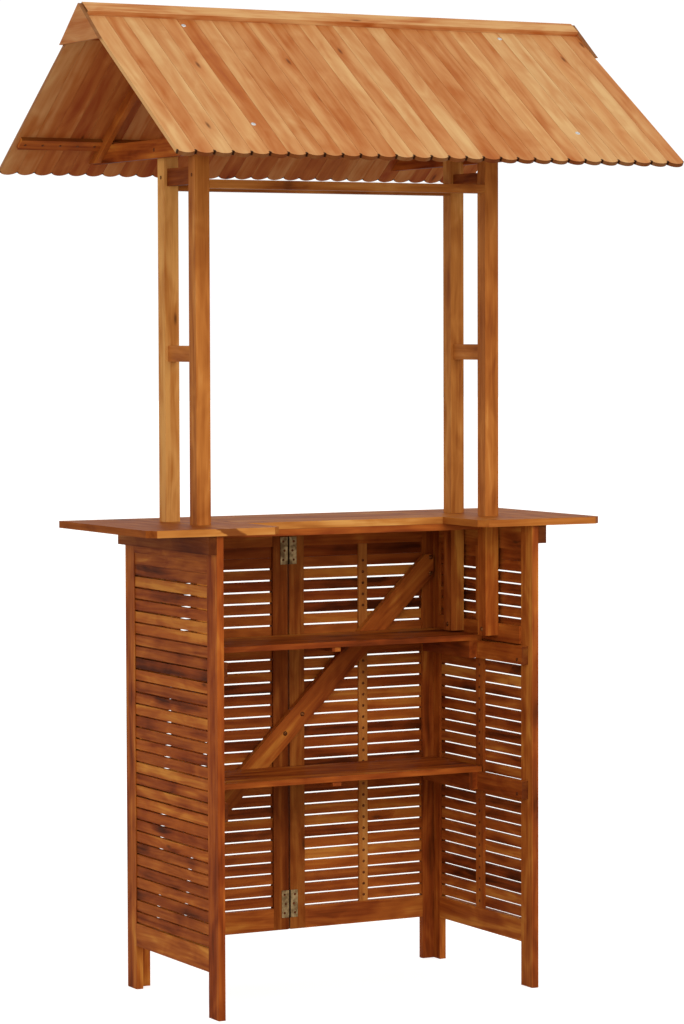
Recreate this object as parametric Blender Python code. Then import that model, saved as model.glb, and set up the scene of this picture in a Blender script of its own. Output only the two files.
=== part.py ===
# Roofed garden bar table of oiled hardwood.
# A slatted bar body of two side panels and a folding two-leaf front carries a U-shaped counter.
# Two pairs of posts rise through the counter and hold a gabled roof of scalloped planks.
# Metres, +Z up. The server's open side faces -Y, the customers' side faces +Y.
# The ridge of the roof lies over y = 0 and the middle of the bar over x = 0.

import math

import bmesh
import bpy
from mathutils import Vector

# Overall sizes
TOTAL_HEIGHT = 2.170
ROOF_PLANK_PITCH = 0.0421
ROOF_PLANK_COUNT = 29
EAVE_NOTCH_Y = 0.465
ROOF_ANGLE = math.radians(34.6)
BODY_HALF_WIDTH = 0.3984
COUNTER_HALF_LENGTH = 0.5601
COUNTER_TOP_Z = 1.0525

# Clearances
GAP = 0.0003
LAP = 0.0010

# Panels
PANEL_THICKNESS = 0.0160
PANEL_NEAR_Y = -0.2046
PANEL_FAR_Y = 0.2590
NEAR_STILE_WIDTH = 0.0483
FAR_STILE_WIDTH = 0.0470
RAIL_BOTTOM_Z = 0.0983
RAIL_BOTTOM_TOP_Z = 0.1484
TOP_RAIL_DROP = 0.0730
GROOVE_DEPTH = 0.0090
GROOVE_START_Z = 0.1060
SLAT_THICKNESS = 0.0080
SLAT_RECESS = 0.0020
SLAT_PITCH = 0.0259
SLAT_GAP = 0.0038
SLAT_TIGHT_GAP = 0.0005
FIRST_SLIT_DROP = 0.1248
BATTEN_WIDTH = 0.0330
LEAF_BATTEN_WIDTH = 0.0224
LEAF_BATTEN_SHIFT = 0.0021
POST_RAIL_BOTTOM_Z = 0.7690
POST_RAIL_HEIGHT = 0.0400

# Front wall of two leaves
WALL_INNER_Y = 0.2395
LEAF_GAP = 0.0040
LEAF_SPLIT_X = 0.0010
CENTRE_STILE_WIDTH = 0.0380
END_STILE_WIDTH = 0.0303
HINGE_HEIGHT = 0.0630
HINGE_PLATE_WIDTH = 0.0185
HINGE_PLATE_THICKNESS = 0.0015
HINGE_BARREL_RADIUS = 0.0017
HINGE_PIN_RADIUS = 0.0009
HINGE_PIN_CLEARANCE = 0.0002
HINGE_SCREW_RADIUS = 0.0019
HINGE_HEAD_RADIUS = 0.0034
UPPER_HINGE_DROP = 0.1145
LOWER_HINGE_Z = 0.1260

# Brace
BRACE_THICKNESS = 0.0160
BRACE_WIDTH = 0.0490
BRACE_END_SPACE = 0.0089
BRACE_TOP_DROP = 0.1025
BRACE_BOTTOM_Z = 0.1930
BRACE_RISE = 0.7321
BRACE_CORNER = 0.0060

# Shelves and their cleats
SHELF_FRONT_Y = 0.0080
SHELF_THICKNESS = 0.0125
SHELF_BOARD_COUNT = 4
SHELF_BATTEN_WIDTH = 0.0210
SHELF_BATTEN_HEIGHT = 0.0400
SHELF_MIDDLE_BATTEN_HEIGHT = 0.0100
SHELF_MIDDLE_BATTEN_X = 0.0040
SHELF_MIDDLE_BATTEN_INSET = 0.0040
CLEAT_THICKNESS = 0.0165
CLEAT_HEIGHT = 0.0400
CLEAT_NEAR_Y = -0.1870
UPPER_CLEAT_TOP_Z = 0.7655
LOWER_CLEAT_TOP_Z = 0.4640

# Counter
COUNTER_THICKNESS = 0.0154
COUNTER_NEAR_Y = -0.2158
COUNTER_INNER_Y = -0.0430
COUNTER_FAR_Y = 0.2560
WING_INNER_X = 0.2465
COUNTER_CHAMFER = 0.0190
COUNTER_SEAM_WIDTH = 0.0012
COUNTER_SEAM_DEPTH = 0.0008
APRON_HEIGHT = 0.0148
APRON_DEPTH = 0.0450
COUNTER_CLEAT_THICKNESS = 0.0193
COUNTER_CLEAT_HEIGHT = 0.0400
COUNTER_CLEAT_INSET = 0.0099
COUNTER_CLEAT_FAR_INSET = 0.0005

# Posts and their ties
POST_WIDTH = 0.0340
POST_DEPTH = 0.0340
POST_INSET = 0.0209
NEAR_POST_Y = -0.0655
FAR_POST_Y = 0.0893
POST_BOTTOM_Z = 0.7821
POST_TOP_DROP = 0.2815
BLOCK_THICKNESS = 0.0200
BLOCK_SHARE = 0.4786
BLOCK_HEIGHT = 0.0349
SIDE_BOARD_DROP = 0.3830
SIDE_BOARD_HEIGHT = 0.0380
ROOF_RAIL_DROP = 0.3925
ROOF_RAIL_HEIGHT = 0.0190
TIE_THICKNESS = 0.0160
TIE_HEIGHT = 0.0405

# Roof
PLANK_THICKNESS = 0.0090
PLANK_GAP = 0.0005
PLANK_TOP_CLEARANCE = 0.0005
SCALLOP_RISE = 0.0090
SCALLOP_STEPS = 8
ROOF_BATTEN_THICKNESS = 0.0095
ROOF_BATTEN_WIDTH = 0.0330
ROOF_BATTEN_INSET = 0.0080
UPPER_BATTEN_S = 0.0650
LOWER_BATTEN_SETBACK = 0.1132
RAFTER_THICKNESS = 0.0125
RAFTER_DEPTH = 0.0240
RAFTER_SETBACK = 0.0377
CAP_THICKNESS = 0.0115
CAP_SKIRT = 0.0295
GABLE_PLATE_THICKNESS = 0.0090
GABLE_PLATE_HALF_WIDTH = 0.1015
GABLE_PLATE_PEAK_DROP = 0.0030
GABLE_PLATE_FOOT_DROP = 0.0845

# Fits that follow from the sizes above
PANEL_INNER_X = BODY_HALF_WIDTH - PANEL_THICKNESS
UNDER_COUNTER_Z = COUNTER_TOP_Z - COUNTER_THICKNESS
PANEL_TOP_Z = UNDER_COUNTER_Z - GAP
RAIL_TOP_BOTTOM_Z = COUNTER_TOP_Z - TOP_RAIL_DROP
FIRST_SLIT_Z = COUNTER_TOP_Z - FIRST_SLIT_DROP
SLAT_COUNT = int((FIRST_SLIT_Z - RAIL_BOTTOM_TOP_Z) / SLAT_PITCH) + 2
WALL_OUTER_Y = WALL_INNER_Y + PANEL_THICKNESS
BRACE_HALF_SPAN = PANEL_INNER_X - BRACE_END_SPACE
BRACE_TOP_Z = COUNTER_TOP_Z - BRACE_TOP_DROP
BRACE_MID_Z = (BRACE_TOP_Z + BRACE_BOTTOM_Z) / 2
BRACE_SLOPE = BRACE_RISE / (2 * BRACE_HALF_SPAN)
POST_OUTER_X = BODY_HALF_WIDTH - POST_INSET
POST_INNER_X = POST_OUTER_X - POST_WIDTH
POST_TOP_Z = TOTAL_HEIGHT - POST_TOP_DROP
SIDE_BOARD_BOTTOM_Z = TOTAL_HEIGHT - SIDE_BOARD_DROP
BLOCK_BOTTOM_Z = COUNTER_TOP_Z + BLOCK_SHARE * (SIDE_BOARD_BOTTOM_Z - COUNTER_TOP_Z)
ROOF_RAIL_BOTTOM_Z = TOTAL_HEIGHT - ROOF_RAIL_DROP
TIE_BOTTOM_Z = POST_TOP_Z - TIE_HEIGHT
COS_ROOF = math.cos(ROOF_ANGLE)
SIN_ROOF = math.sin(ROOF_ANGLE)
TAN_ROOF = math.tan(ROOF_ANGLE)
APEX_Z = TOTAL_HEIGHT - CAP_THICKNESS / COS_ROOF
ROOF_HALF_LENGTH = ROOF_PLANK_PITCH * ROOF_PLANK_COUNT / 2
PLANK_TOP_S = PLANK_THICKNESS * TAN_ROOF + PLANK_TOP_CLEARANCE
NOTCH_S = EAVE_NOTCH_Y / COS_ROOF
LOWER_BATTEN_S = NOTCH_S - LOWER_BATTEN_SETBACK
RAFTER_END_S = NOTCH_S - RAFTER_SETBACK


def clear_scene():
    for item in list(bpy.data.objects):
        bpy.data.objects.remove(item, do_unlink=True)


def wood(name, colour, roughness=0.5):
    material = bpy.data.materials.new(name)
    material.use_nodes = True
    shader = material.node_tree.nodes["Principled BSDF"]
    shader.inputs["Base Color"].default_value = (*colour, 1.0)
    shader.inputs["Roughness"].default_value = roughness
    shader.inputs["Metallic"].default_value = 0.0
    material.diffuse_color = (*colour, 1.0)
    return material


def metal(name, colour, roughness=0.35):
    material = wood(name, colour, roughness)
    material.node_tree.nodes["Principled BSDF"].inputs["Metallic"].default_value = 1.0
    return material


def add_object(name, bm, material, location=(0.0, 0.0, 0.0), rotation=(0.0, 0.0, 0.0)):
    bmesh.ops.recalc_face_normals(bm, faces=bm.faces[:])
    mesh = bpy.data.meshes.new(name)
    bm.to_mesh(mesh)
    bm.free()
    item = bpy.data.objects.new(name, mesh)
    item.location = location
    item.rotation_euler = rotation
    if material is not None:
        mesh.materials.append(material)
    bpy.context.scene.collection.objects.link(item)
    return item


def fill_box(bm, low, high):
    low, high = Vector(low), Vector(high)
    made = bmesh.ops.create_cube(bm, size=1.0)["verts"]
    for vert in made:
        vert.co = Vector((a + (c + 0.5) * (b - a) for a, b, c in zip(low, high, vert.co)))
    return made


def fill_prism(bm, outline, low, high, axis):
    """A closed outline pushed along one axis. The outline holds the other two coordinates in order."""
    order = {"x": (1, 2, 0), "y": (0, 2, 1), "z": (0, 1, 2)}[axis]
    ends = []
    for depth in (low, high):
        ring = []
        for first, second in outline:
            point = [0.0, 0.0, 0.0]
            point[order[0]] = first
            point[order[1]] = second
            point[order[2]] = depth
            ring.append(bm.verts.new(point))
        ends.append(ring)
    bm.faces.new(ends[0])
    bm.faces.new(ends[1])
    count = len(outline)
    for i in range(count):
        j = (i + 1) % count
        bm.faces.new((ends[0][i], ends[0][j], ends[1][j], ends[1][i]))


def board(name, material, x, y, z):
    """A straight board between two limits on each axis, with its origin at its own middle."""
    low = [min(pair) for pair in (x, y, z)]
    high = [max(pair) for pair in (x, y, z)]
    middle = [(a + b) / 2 for a, b in zip(low, high)]
    bm = bmesh.new()
    fill_box(bm, [a - m for a, m in zip(low, middle)], [b - m for b, m in zip(high, middle)])
    return add_object(name, bm, material, middle)


def prism(name, material, outline, depth, axis, location=(0.0, 0.0, 0.0), rotation=(0.0, 0.0, 0.0)):
    bm = bmesh.new()
    fill_prism(bm, outline, *depth, axis)
    return add_object(name, bm, material, location, rotation)


def cutter_box(name, x, y, z):
    return hide(board(name, None, x, y, z))


def hide(item):
    item.hide_render = True
    item.display_type = "WIRE"
    return item


def combine(item, other, operation):
    """Join a shape to a piece, or cut it out of it."""
    step = item.modifiers.new(operation.title(), "BOOLEAN")
    step.operation = operation
    step.solver = "EXACT"
    step.object = other
    return item


def slat_levels():
    """Lower and upper edge of each slat, from the tight pair under the top rail downwards."""
    slits = [FIRST_SLIT_Z + SLAT_PITCH * (2 - k) for k in range(SLAT_COUNT + 1)]
    gaps = [SLAT_TIGHT_GAP, SLAT_TIGHT_GAP] + [SLAT_GAP] * (SLAT_COUNT - 1)
    slits[0] = RAIL_TOP_BOTTOM_Z
    levels = []
    for k in range(SLAT_COUNT):
        top = slits[k] - gaps[k] / 2
        low = slits[k + 1] + gaps[k + 1] / 2
        levels.append((low, top))
    levels[0] = (levels[0][0], RAIL_TOP_BOTTOM_Z - SLAT_TIGHT_GAP)
    return levels


def mirrored(side, near, far):
    return (side * near, side * far)


clear_scene()
BODY_WOOD = (0.245, 0.078, 0.022)
DARK_WOOD = (0.160, 0.045, 0.014)
POST_WOOD = (0.300, 0.105, 0.030)
TOP_WOOD = (0.230, 0.085, 0.035)
ROOF_WOOD = (0.560, 0.270, 0.095)
BRASS = (0.480, 0.330, 0.170)
LEVELS = slat_levels()

# Side panels: two stiles, two rails and a pack of slats in each
RAIL_LEVELS = (("bottom", RAIL_BOTTOM_Z, RAIL_BOTTOM_TOP_Z), ("top", RAIL_TOP_BOTTOM_Z, PANEL_TOP_Z))
GROOVE_Z = (GROOVE_START_Z, PANEL_TOP_Z + GROOVE_DEPTH)
slat_outer_x = BODY_HALF_WIDTH - SLAT_RECESS
slat_inner_x = slat_outer_x - SLAT_THICKNESS
open_near = PANEL_NEAR_Y + NEAR_STILE_WIDTH
open_far = PANEL_FAR_Y - FAR_STILE_WIDTH
tongue_y = (open_near - GROOVE_DEPTH + LAP, open_far + GROOVE_DEPTH - LAP)
for side, word in ((-1, "left"), (1, "right")):
    face_x = mirrored(side, PANEL_INNER_X, BODY_HALF_WIDTH)
    slat_x = mirrored(side, slat_inner_x, slat_outer_x)
    groove_x = mirrored(side, slat_inner_x - GAP, slat_outer_x + GAP)
    for end, edge, width in (("near", open_near, (PANEL_NEAR_Y, open_near)),
                             ("far", open_far, (open_far, PANEL_FAR_Y))):
        stile = board(word + "_panel_" + end + "_stile", wood(word + "_" + end + "_stile_wood", POST_WOOD),
                      face_x, width, (0.0, PANEL_TOP_Z))
        groove = cutter_box(word + "_" + end + "_groove", groove_x,
                            (edge - GROOVE_DEPTH, edge + GROOVE_DEPTH), GROOVE_Z)
        combine(stile, groove, "DIFFERENCE")
    for rail, low, high in RAIL_LEVELS:
        name = word + "_panel_" + rail + "_rail"
        item = board(name, wood(name + "_wood", BODY_WOOD), face_x,
                     (open_near + GAP, open_far - GAP), (low, high))
        tongue = cutter_box(name + "_tongue", slat_x, tongue_y, (max(low, GROOVE_START_Z + GAP), high))
        combine(item, tongue, "UNION")
    bm = bmesh.new()
    for low, high in LEVELS:
        fill_box(bm, (min(slat_x), tongue_y[0], low), (max(slat_x), tongue_y[1], high))
    slats = hide(add_object(word + "_slat_boards", bm, None))
    batten_y = (open_near + open_far) / 2
    pack = board(word + "_panel_slats", wood(word + "_slat_wood", BODY_WOOD),
                 mirrored(side, PANEL_INNER_X, slat_inner_x + LAP),
                 (batten_y - BATTEN_WIDTH / 2, batten_y + BATTEN_WIDTH / 2),
                 (RAIL_BOTTOM_TOP_Z + GAP, RAIL_TOP_BOTTOM_Z - GAP))
    combine(pack, slats, "UNION")
    post_rail = cutter_box(word + "_post_rail", mirrored(side, POST_OUTER_X + GAP, slat_inner_x + LAP / 2),
                           (open_near + GAP, open_far - GAP),
                           (POST_RAIL_BOTTOM_Z, POST_RAIL_BOTTOM_Z + POST_RAIL_HEIGHT))
    combine(pack, post_rail, "UNION")

# Front wall: two leaves, hinged together at the middle
wall_slat_y = (WALL_OUTER_Y - SLAT_RECESS - SLAT_THICKNESS, WALL_OUTER_Y - SLAT_RECESS)
wall_groove_y = (wall_slat_y[0] - GAP, wall_slat_y[1] + GAP)
wall_y = (WALL_INNER_Y, WALL_OUTER_Y)
for side, word in ((-1, "left"), (1, "right")):
    centre_x = LEAF_SPLIT_X + side * LEAF_GAP / 2
    centre_edge = centre_x + side * CENTRE_STILE_WIDTH
    end_x = side * (PANEL_INNER_X - GAP)
    end_edge = side * (PANEL_INNER_X - END_STILE_WIDTH)
    deep = side * GROOVE_DEPTH
    centre_stile = board(word + "_leaf_centre_stile", wood(word + "_centre_stile_wood", DARK_WOOD),
                         (centre_x, centre_edge), wall_y, (RAIL_BOTTOM_Z, PANEL_TOP_Z))
    centre_groove = cutter_box(word + "_centre_groove", (centre_edge - deep, centre_edge + deep),
                               wall_groove_y, GROOVE_Z)
    combine(centre_stile, centre_groove, "DIFFERENCE")
    end_stile = board(word + "_leaf_end_stile", wood(word + "_end_stile_wood", DARK_WOOD),
                      (end_edge, end_x), wall_y, (0.0, PANEL_TOP_Z))
    end_groove = cutter_box(word + "_end_groove", (end_edge - deep, end_edge + deep), wall_groove_y, GROOVE_Z)
    combine(end_stile, end_groove, "DIFFERENCE")
    reach = side * (GROOVE_DEPTH - LAP)
    tongue_x = (centre_edge - reach, end_edge + reach)
    for rail, low, high in RAIL_LEVELS:
        name = word + "_leaf_" + rail + "_rail"
        item = board(name, wood(name + "_wood", BODY_WOOD),
                     (centre_edge + side * GAP, end_edge - side * GAP), wall_y, (low, high))
        tongue = cutter_box(name + "_tongue", tongue_x, wall_slat_y, (max(low, GROOVE_START_Z + GAP), high))
        combine(item, tongue, "UNION")
    bm = bmesh.new()
    for low, high in LEVELS:
        fill_box(bm, (min(tongue_x), wall_slat_y[0], low), (max(tongue_x), wall_slat_y[1], high))
    slats = hide(add_object(word + "_leaf_boards", bm, None))
    batten_x = (centre_x + end_x) / 2 + side * LEAF_BATTEN_SHIFT
    pack = board(word + "_leaf_slats", wood(word + "_leaf_slat_wood", BODY_WOOD),
                 (batten_x - LEAF_BATTEN_WIDTH / 2, batten_x + LEAF_BATTEN_WIDTH / 2),
                 (WALL_INNER_Y, wall_slat_y[0] + LAP), (RAIL_BOTTOM_TOP_Z + GAP, RAIL_TOP_BOTTOM_Z - GAP))
    combine(pack, slats, "UNION")


def hinge_leaf(name, side, base_z, material, knuckles, with_pin):
    """A flat plate on the stile's inner face with its knuckles in the groove between the two stiles."""
    plate_y = (WALL_INNER_Y - GAP - HINGE_PLATE_THICKNESS, WALL_INNER_Y - GAP)
    edge = LEAF_SPLIT_X + side * LEAF_GAP / 2
    plate = board(name, material, (edge, edge + side * HINGE_PLATE_WIDTH), plate_y,
                  (base_z, base_z + HINGE_HEIGHT))
    axis_y = plate_y[0] + HINGE_BARREL_RADIUS
    third = HINGE_HEIGHT / 3
    for index in knuckles:
        low = base_z + third * index + (GAP / 2 if index else 0.0)
        high = base_z + third * (index + 1) - (GAP / 2 if index < 2 else 0.0)
        bm = bmesh.new()
        bmesh.ops.create_cone(bm, cap_ends=True, segments=16, radius1=HINGE_BARREL_RADIUS,
                              radius2=HINGE_BARREL_RADIUS, depth=high - low)
        spot = (LEAF_SPLIT_X, axis_y, (low + high) / 2)
        combine(plate, hide(add_object(name + "_knuckle_" + str(index), bm, None, spot)), "UNION")
        web_x = (LEAF_SPLIT_X + side * HINGE_PIN_RADIUS * 1.6, edge + side * LAP)
        web = cutter_box(name + "_web_" + str(index), web_x, plate_y, (low, high))
        combine(plate, web, "UNION")
    bm = bmesh.new()
    if with_pin:
        bmesh.ops.create_cone(bm, cap_ends=True, segments=12, radius1=HINGE_PIN_RADIUS,
                              radius2=HINGE_PIN_RADIUS, depth=HINGE_HEIGHT - third)
        pin = add_object(name + "_pin", bm, None, (LEAF_SPLIT_X, axis_y, base_z + HINGE_HEIGHT / 2))
        combine(plate, hide(pin), "UNION")
    else:
        bore = HINGE_PIN_RADIUS + HINGE_PIN_CLEARANCE
        bmesh.ops.create_cone(bm, cap_ends=True, segments=12, radius1=bore, radius2=bore,
                              depth=HINGE_HEIGHT)
        hole = add_object(name + "_bore", bm, None, (LEAF_SPLIT_X, axis_y, base_z + HINGE_HEIGHT / 2))
        combine(plate, hide(hole), "DIFFERENCE")
    for step, shift in ((0.5, 0.62), (1.5, 0.45), (2.5, 0.62)):
        bm = bmesh.new()
        bmesh.ops.create_cone(bm, cap_ends=True, segments=12, radius1=HINGE_HEAD_RADIUS,
                              radius2=HINGE_SCREW_RADIUS, depth=HINGE_PLATE_THICKNESS + 2 * GAP)
        spot = (edge + side * HINGE_PLATE_WIDTH * shift, sum(plate_y) / 2, base_z + third * step)
        sink = add_object(name + "_hole_" + str(int(step)), bm, None, spot, (-math.pi / 2, 0.0, 0.0))
        combine(plate, hide(sink), "DIFFERENCE")
    return plate


for word, base_z in (("upper", COUNTER_TOP_Z - UPPER_HINGE_DROP), ("lower", LOWER_HINGE_Z)):
    hinge_leaf(word + "_hinge_left_leaf", -1, base_z, metal(word + "_left_brass", BRASS), (0, 2), True)
    hinge_leaf(word + "_hinge_right_leaf", 1, base_z, metal(word + "_right_brass", BRASS), (1,), False)

# Diagonal brace on the inner face of the wall, trimmed level at its ends
brace_half = BRACE_WIDTH / 2 * math.sqrt(1 + BRACE_SLOPE ** 2)


def brace_z(x, offset):
    return BRACE_MID_Z + BRACE_SLOPE * x + offset


def brace_x(z, offset):
    return (z - BRACE_MID_Z - offset) / BRACE_SLOPE


brace_outline = [
    (brace_x(BRACE_BOTTOM_Z, -brace_half), BRACE_BOTTOM_Z),
    (BRACE_HALF_SPAN, brace_z(BRACE_HALF_SPAN, -brace_half)),
    (BRACE_HALF_SPAN, BRACE_TOP_Z - BRACE_CORNER),
    (BRACE_HALF_SPAN - BRACE_CORNER, BRACE_TOP_Z),
    (brace_x(BRACE_TOP_Z, brace_half), BRACE_TOP_Z),
    (-BRACE_HALF_SPAN, brace_z(-BRACE_HALF_SPAN, brace_half)),
    (-BRACE_HALF_SPAN, BRACE_BOTTOM_Z + BRACE_CORNER),
    (-BRACE_HALF_SPAN + BRACE_CORNER, BRACE_BOTTOM_Z),
]
prism("diagonal_brace", wood("brace_wood", BODY_WOOD), brace_outline,
      (WALL_INNER_Y - GAP - BRACE_THICKNESS, WALL_INNER_Y - GAP), "y")

# Shelves of edge-laid boards on battens, and the cleats that carry them
shelf_back_y = WALL_INNER_Y - GAP - BRACE_THICKNESS - GAP
shelf_half = POST_OUTER_X - GAP
for word, cleat_top in (("upper", UPPER_CLEAT_TOP_Z), ("lower", LOWER_CLEAT_TOP_Z)):
    low = cleat_top + GAP
    high = low + SHELF_THICKNESS
    bm = bmesh.new()
    width = (shelf_back_y - SHELF_FRONT_Y) / SHELF_BOARD_COUNT
    for index in range(SHELF_BOARD_COUNT):
        front = SHELF_FRONT_Y + width * index
        fill_box(bm, (-shelf_half, front + (GAP if index else 0.0), low),
                 (shelf_half, front + width - (GAP if index < SHELF_BOARD_COUNT - 1 else 0.0), high))
    boards = hide(add_object(word + "_shelf_boards", bm, None))
    middle = SHELF_MIDDLE_BATTEN_X
    half = SHELF_BATTEN_WIDTH / 2
    inset = SHELF_MIDDLE_BATTEN_INSET
    shelf = board(word + "_shelf", wood(word + "_shelf_wood", BODY_WOOD), (middle - half, middle + half),
                  (SHELF_FRONT_Y + inset, shelf_back_y - inset),
                  (low - SHELF_MIDDLE_BATTEN_HEIGHT, low + LAP))
    combine(shelf, boards, "UNION")
    for side, hand in ((-1, "left"), (1, "right")):
        inner = PANEL_INNER_X - GAP - CLEAT_THICKNESS - GAP
        end = cutter_box(word + "_shelf_batten_" + hand, mirrored(side, inner - SHELF_BATTEN_WIDTH, inner),
                         (SHELF_FRONT_Y, shelf_back_y), (low - SHELF_BATTEN_HEIGHT, low + LAP))
        combine(shelf, end, "UNION")
        board(hand + "_" + word + "_shelf_cleat", wood(hand + "_" + word + "_cleat_wood", BODY_WOOD),
              mirrored(side, PANEL_INNER_X - GAP - CLEAT_THICKNESS, PANEL_INNER_X - GAP),
              (CLEAT_NEAR_Y, WALL_INNER_Y - GAP), (cleat_top - CLEAT_HEIGHT, cleat_top))

# Counter: a long front section between two wings, a stiffener under its inner edge
counter_z = (UNDER_COUNTER_Z, COUNTER_TOP_Z)
seam = COUNTER_SEAM_WIDTH / 2
third = (COUNTER_FAR_Y - COUNTER_INNER_Y) / 3
long_outline = [(COUNTER_INNER_Y, counter_z[0]), (COUNTER_FAR_Y, counter_z[0]),
                (COUNTER_FAR_Y, counter_z[1])]
for line in (COUNTER_FAR_Y - third, COUNTER_INNER_Y + third):
    long_outline += [(line + seam, counter_z[1]), (line, counter_z[1] - COUNTER_SEAM_DEPTH),
                     (line - seam, counter_z[1])]
long_outline.append((COUNTER_INNER_Y, counter_z[1]))
prism("counter_front_board", wood("counter_front_wood", TOP_WOOD), long_outline,
      (-WING_INNER_X + GAP, WING_INNER_X - GAP), "x")
for side, word in ((-1, "left"), (1, "right")):
    inner, outer, cut = side * WING_INNER_X, side * COUNTER_HALF_LENGTH, side * COUNTER_CHAMFER
    outline = [(inner, COUNTER_FAR_Y), (inner, COUNTER_NEAR_Y + COUNTER_CHAMFER),
               (inner + cut, COUNTER_NEAR_Y), (outer - cut, COUNTER_NEAR_Y),
               (outer, COUNTER_NEAR_Y + COUNTER_CHAMFER), (outer, COUNTER_FAR_Y)]
    wing = prism("counter_" + word + "_wing", wood("counter_" + word + "_wood", TOP_WOOD), outline,
                 counter_z, "z")
    joint = [(side * POST_OUTER_X - seam, COUNTER_TOP_Z + GAP),
             (side * POST_OUTER_X + seam, COUNTER_TOP_Z + GAP),
             (side * POST_OUTER_X, COUNTER_TOP_Z - COUNTER_SEAM_DEPTH)]
    seam_cut = prism("counter_" + word + "_seam", None, joint,
                     (COUNTER_NEAR_Y - LAP, COUNTER_FAR_Y + LAP), "y")
    combine(wing, hide(seam_cut), "DIFFERENCE")
    for end, near in (("near", NEAR_POST_Y), ("far", FAR_POST_Y)):
        hole = cutter_box("counter_" + word + "_" + end + "_hole",
                          mirrored(side, POST_INNER_X - GAP, POST_OUTER_X + GAP),
                          (near - GAP, near + POST_DEPTH + GAP), (UNDER_COUNTER_Z - LAP, COUNTER_TOP_Z + LAP))
        combine(wing, hole, "DIFFERENCE")
    name = word + "_counter_cleat"
    board(name, wood(name + "_wood", DARK_WOOD),
          mirrored(side, BODY_HALF_WIDTH + GAP, BODY_HALF_WIDTH + GAP + COUNTER_CLEAT_THICKNESS),
          (COUNTER_NEAR_Y + COUNTER_CLEAT_INSET, COUNTER_FAR_Y - COUNTER_CLEAT_FAR_INSET),
          (PANEL_TOP_Z - COUNTER_CLEAT_HEIGHT, PANEL_TOP_Z))
between_x = (-POST_INNER_X + GAP, POST_INNER_X - GAP)
board("counter_apron", wood("counter_apron_wood", TOP_WOOD), between_x,
      (COUNTER_INNER_Y, COUNTER_INNER_Y + APRON_DEPTH), (PANEL_TOP_Z - APRON_HEIGHT, PANEL_TOP_Z))

# Roof frame of reference. Each slope is built flat: x along the ridge, y down the slope, z into the roof.
APEX = (0.0, 0.0, APEX_Z)
NEAR_TURN = (math.pi + ROOF_ANGLE, 0.0, 0.0)
FAR_TURN = (math.pi + ROOF_ANGLE, 0.0, math.pi)
half_band = ROOF_BATTEN_WIDTH / 2
batten_bands = [(middle - half_band, middle + half_band) for middle in (UPPER_BATTEN_S, LOWER_BATTEN_S)]
batten_seat = PLANK_THICKNESS + ROOF_BATTEN_THICKNESS + GAP
lower_low, lower_high = batten_bands[1]
NOTCH_OUTLINE = [(lower_low - GAP, 0.0), (lower_high + GAP, 0.0),
                 (lower_high + GAP, batten_seat), (lower_low - GAP, batten_seat)]

# Posts with their blocks, boards and ties. The ties end against the planks and under the lower battens.
between_y = (NEAR_POST_Y + POST_DEPTH + GAP, FAR_POST_Y - GAP)
block_inner = POST_INNER_X + (POST_WIDTH - BLOCK_THICKNESS) / 2
plank_under_z = APEX_Z - (PLANK_THICKNESS + GAP) / COS_ROOF
tie_x = (POST_OUTER_X + GAP, POST_OUTER_X + GAP + TIE_THICKNESS)
for side, word in ((-1, "left"), (1, "right")):
    for end, near in (("near", NEAR_POST_Y), ("far", FAR_POST_Y)):
        name = word + "_" + end + "_post"
        board(name, wood(name + "_wood", POST_WOOD), mirrored(side, POST_INNER_X, POST_OUTER_X),
              (near, near + POST_DEPTH), (POST_BOTTOM_Z, POST_TOP_Z))
    block_x = mirrored(side, block_inner, block_inner + BLOCK_THICKNESS)
    board(word + "_post_block", wood(word + "_block_wood", BODY_WOOD), block_x, between_y,
          (BLOCK_BOTTOM_Z, BLOCK_BOTTOM_Z + BLOCK_HEIGHT))
    board(word + "_side_board", wood(word + "_side_board_wood", DARK_WOOD), block_x, between_y,
          (SIDE_BOARD_BOTTOM_Z, SIDE_BOARD_BOTTOM_Z + SIDE_BOARD_HEIGHT))
    top_y = (plank_under_z - POST_TOP_Z) / TAN_ROOF
    low_y = (plank_under_z - TIE_BOTTOM_Z) / TAN_ROOF
    tie = prism(word + "_tie_beam", wood(word + "_tie_wood", BODY_WOOD),
                [(-low_y, TIE_BOTTOM_Z), (low_y, TIE_BOTTOM_Z), (top_y, POST_TOP_Z), (-top_y, POST_TOP_Z)],
                mirrored(side, *tie_x), "x")
    for end, turn in (("near", NEAR_TURN), ("far", FAR_TURN)):
        notch = prism(word + "_tie_" + end + "_notch", None, NOTCH_OUTLINE,
                      (-ROOF_HALF_LENGTH, ROOF_HALF_LENGTH), "x", APEX, turn)
        combine(tie, hide(notch), "DIFFERENCE")
rail_z = (ROOF_RAIL_BOTTOM_Z, ROOF_RAIL_BOTTOM_Z + ROOF_RAIL_HEIGHT)
for word, near in (("near", NEAR_POST_Y), ("far", FAR_POST_Y)):
    board(word + "_roof_rail", wood(word + "_roof_rail_wood", POST_WOOD), between_x,
          (near, near + POST_DEPTH), rail_z)

# Roof planks on their battens, ridge boards and rafters
rafter_x = (tie_x[1] + GAP, tie_x[1] + GAP + RAFTER_THICKNESS)

def plank_outline(left, right):
    """A plank seen square on, with its lower end cut to a shallow arc."""
    half = (right - left) / 2
    radius = (half ** 2 + SCALLOP_RISE ** 2) / (2 * SCALLOP_RISE)
    sweep = math.asin(half / radius)
    outline = [(left, PLANK_TOP_S), (right, PLANK_TOP_S)]
    for step in range(SCALLOP_STEPS + 1):
        angle = sweep - 2 * sweep * step / SCALLOP_STEPS
        outline.append(((left + right) / 2 + radius * math.sin(angle),
                        NOTCH_S + SCALLOP_RISE - radius * (1 - math.cos(angle))))
    return outline


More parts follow.
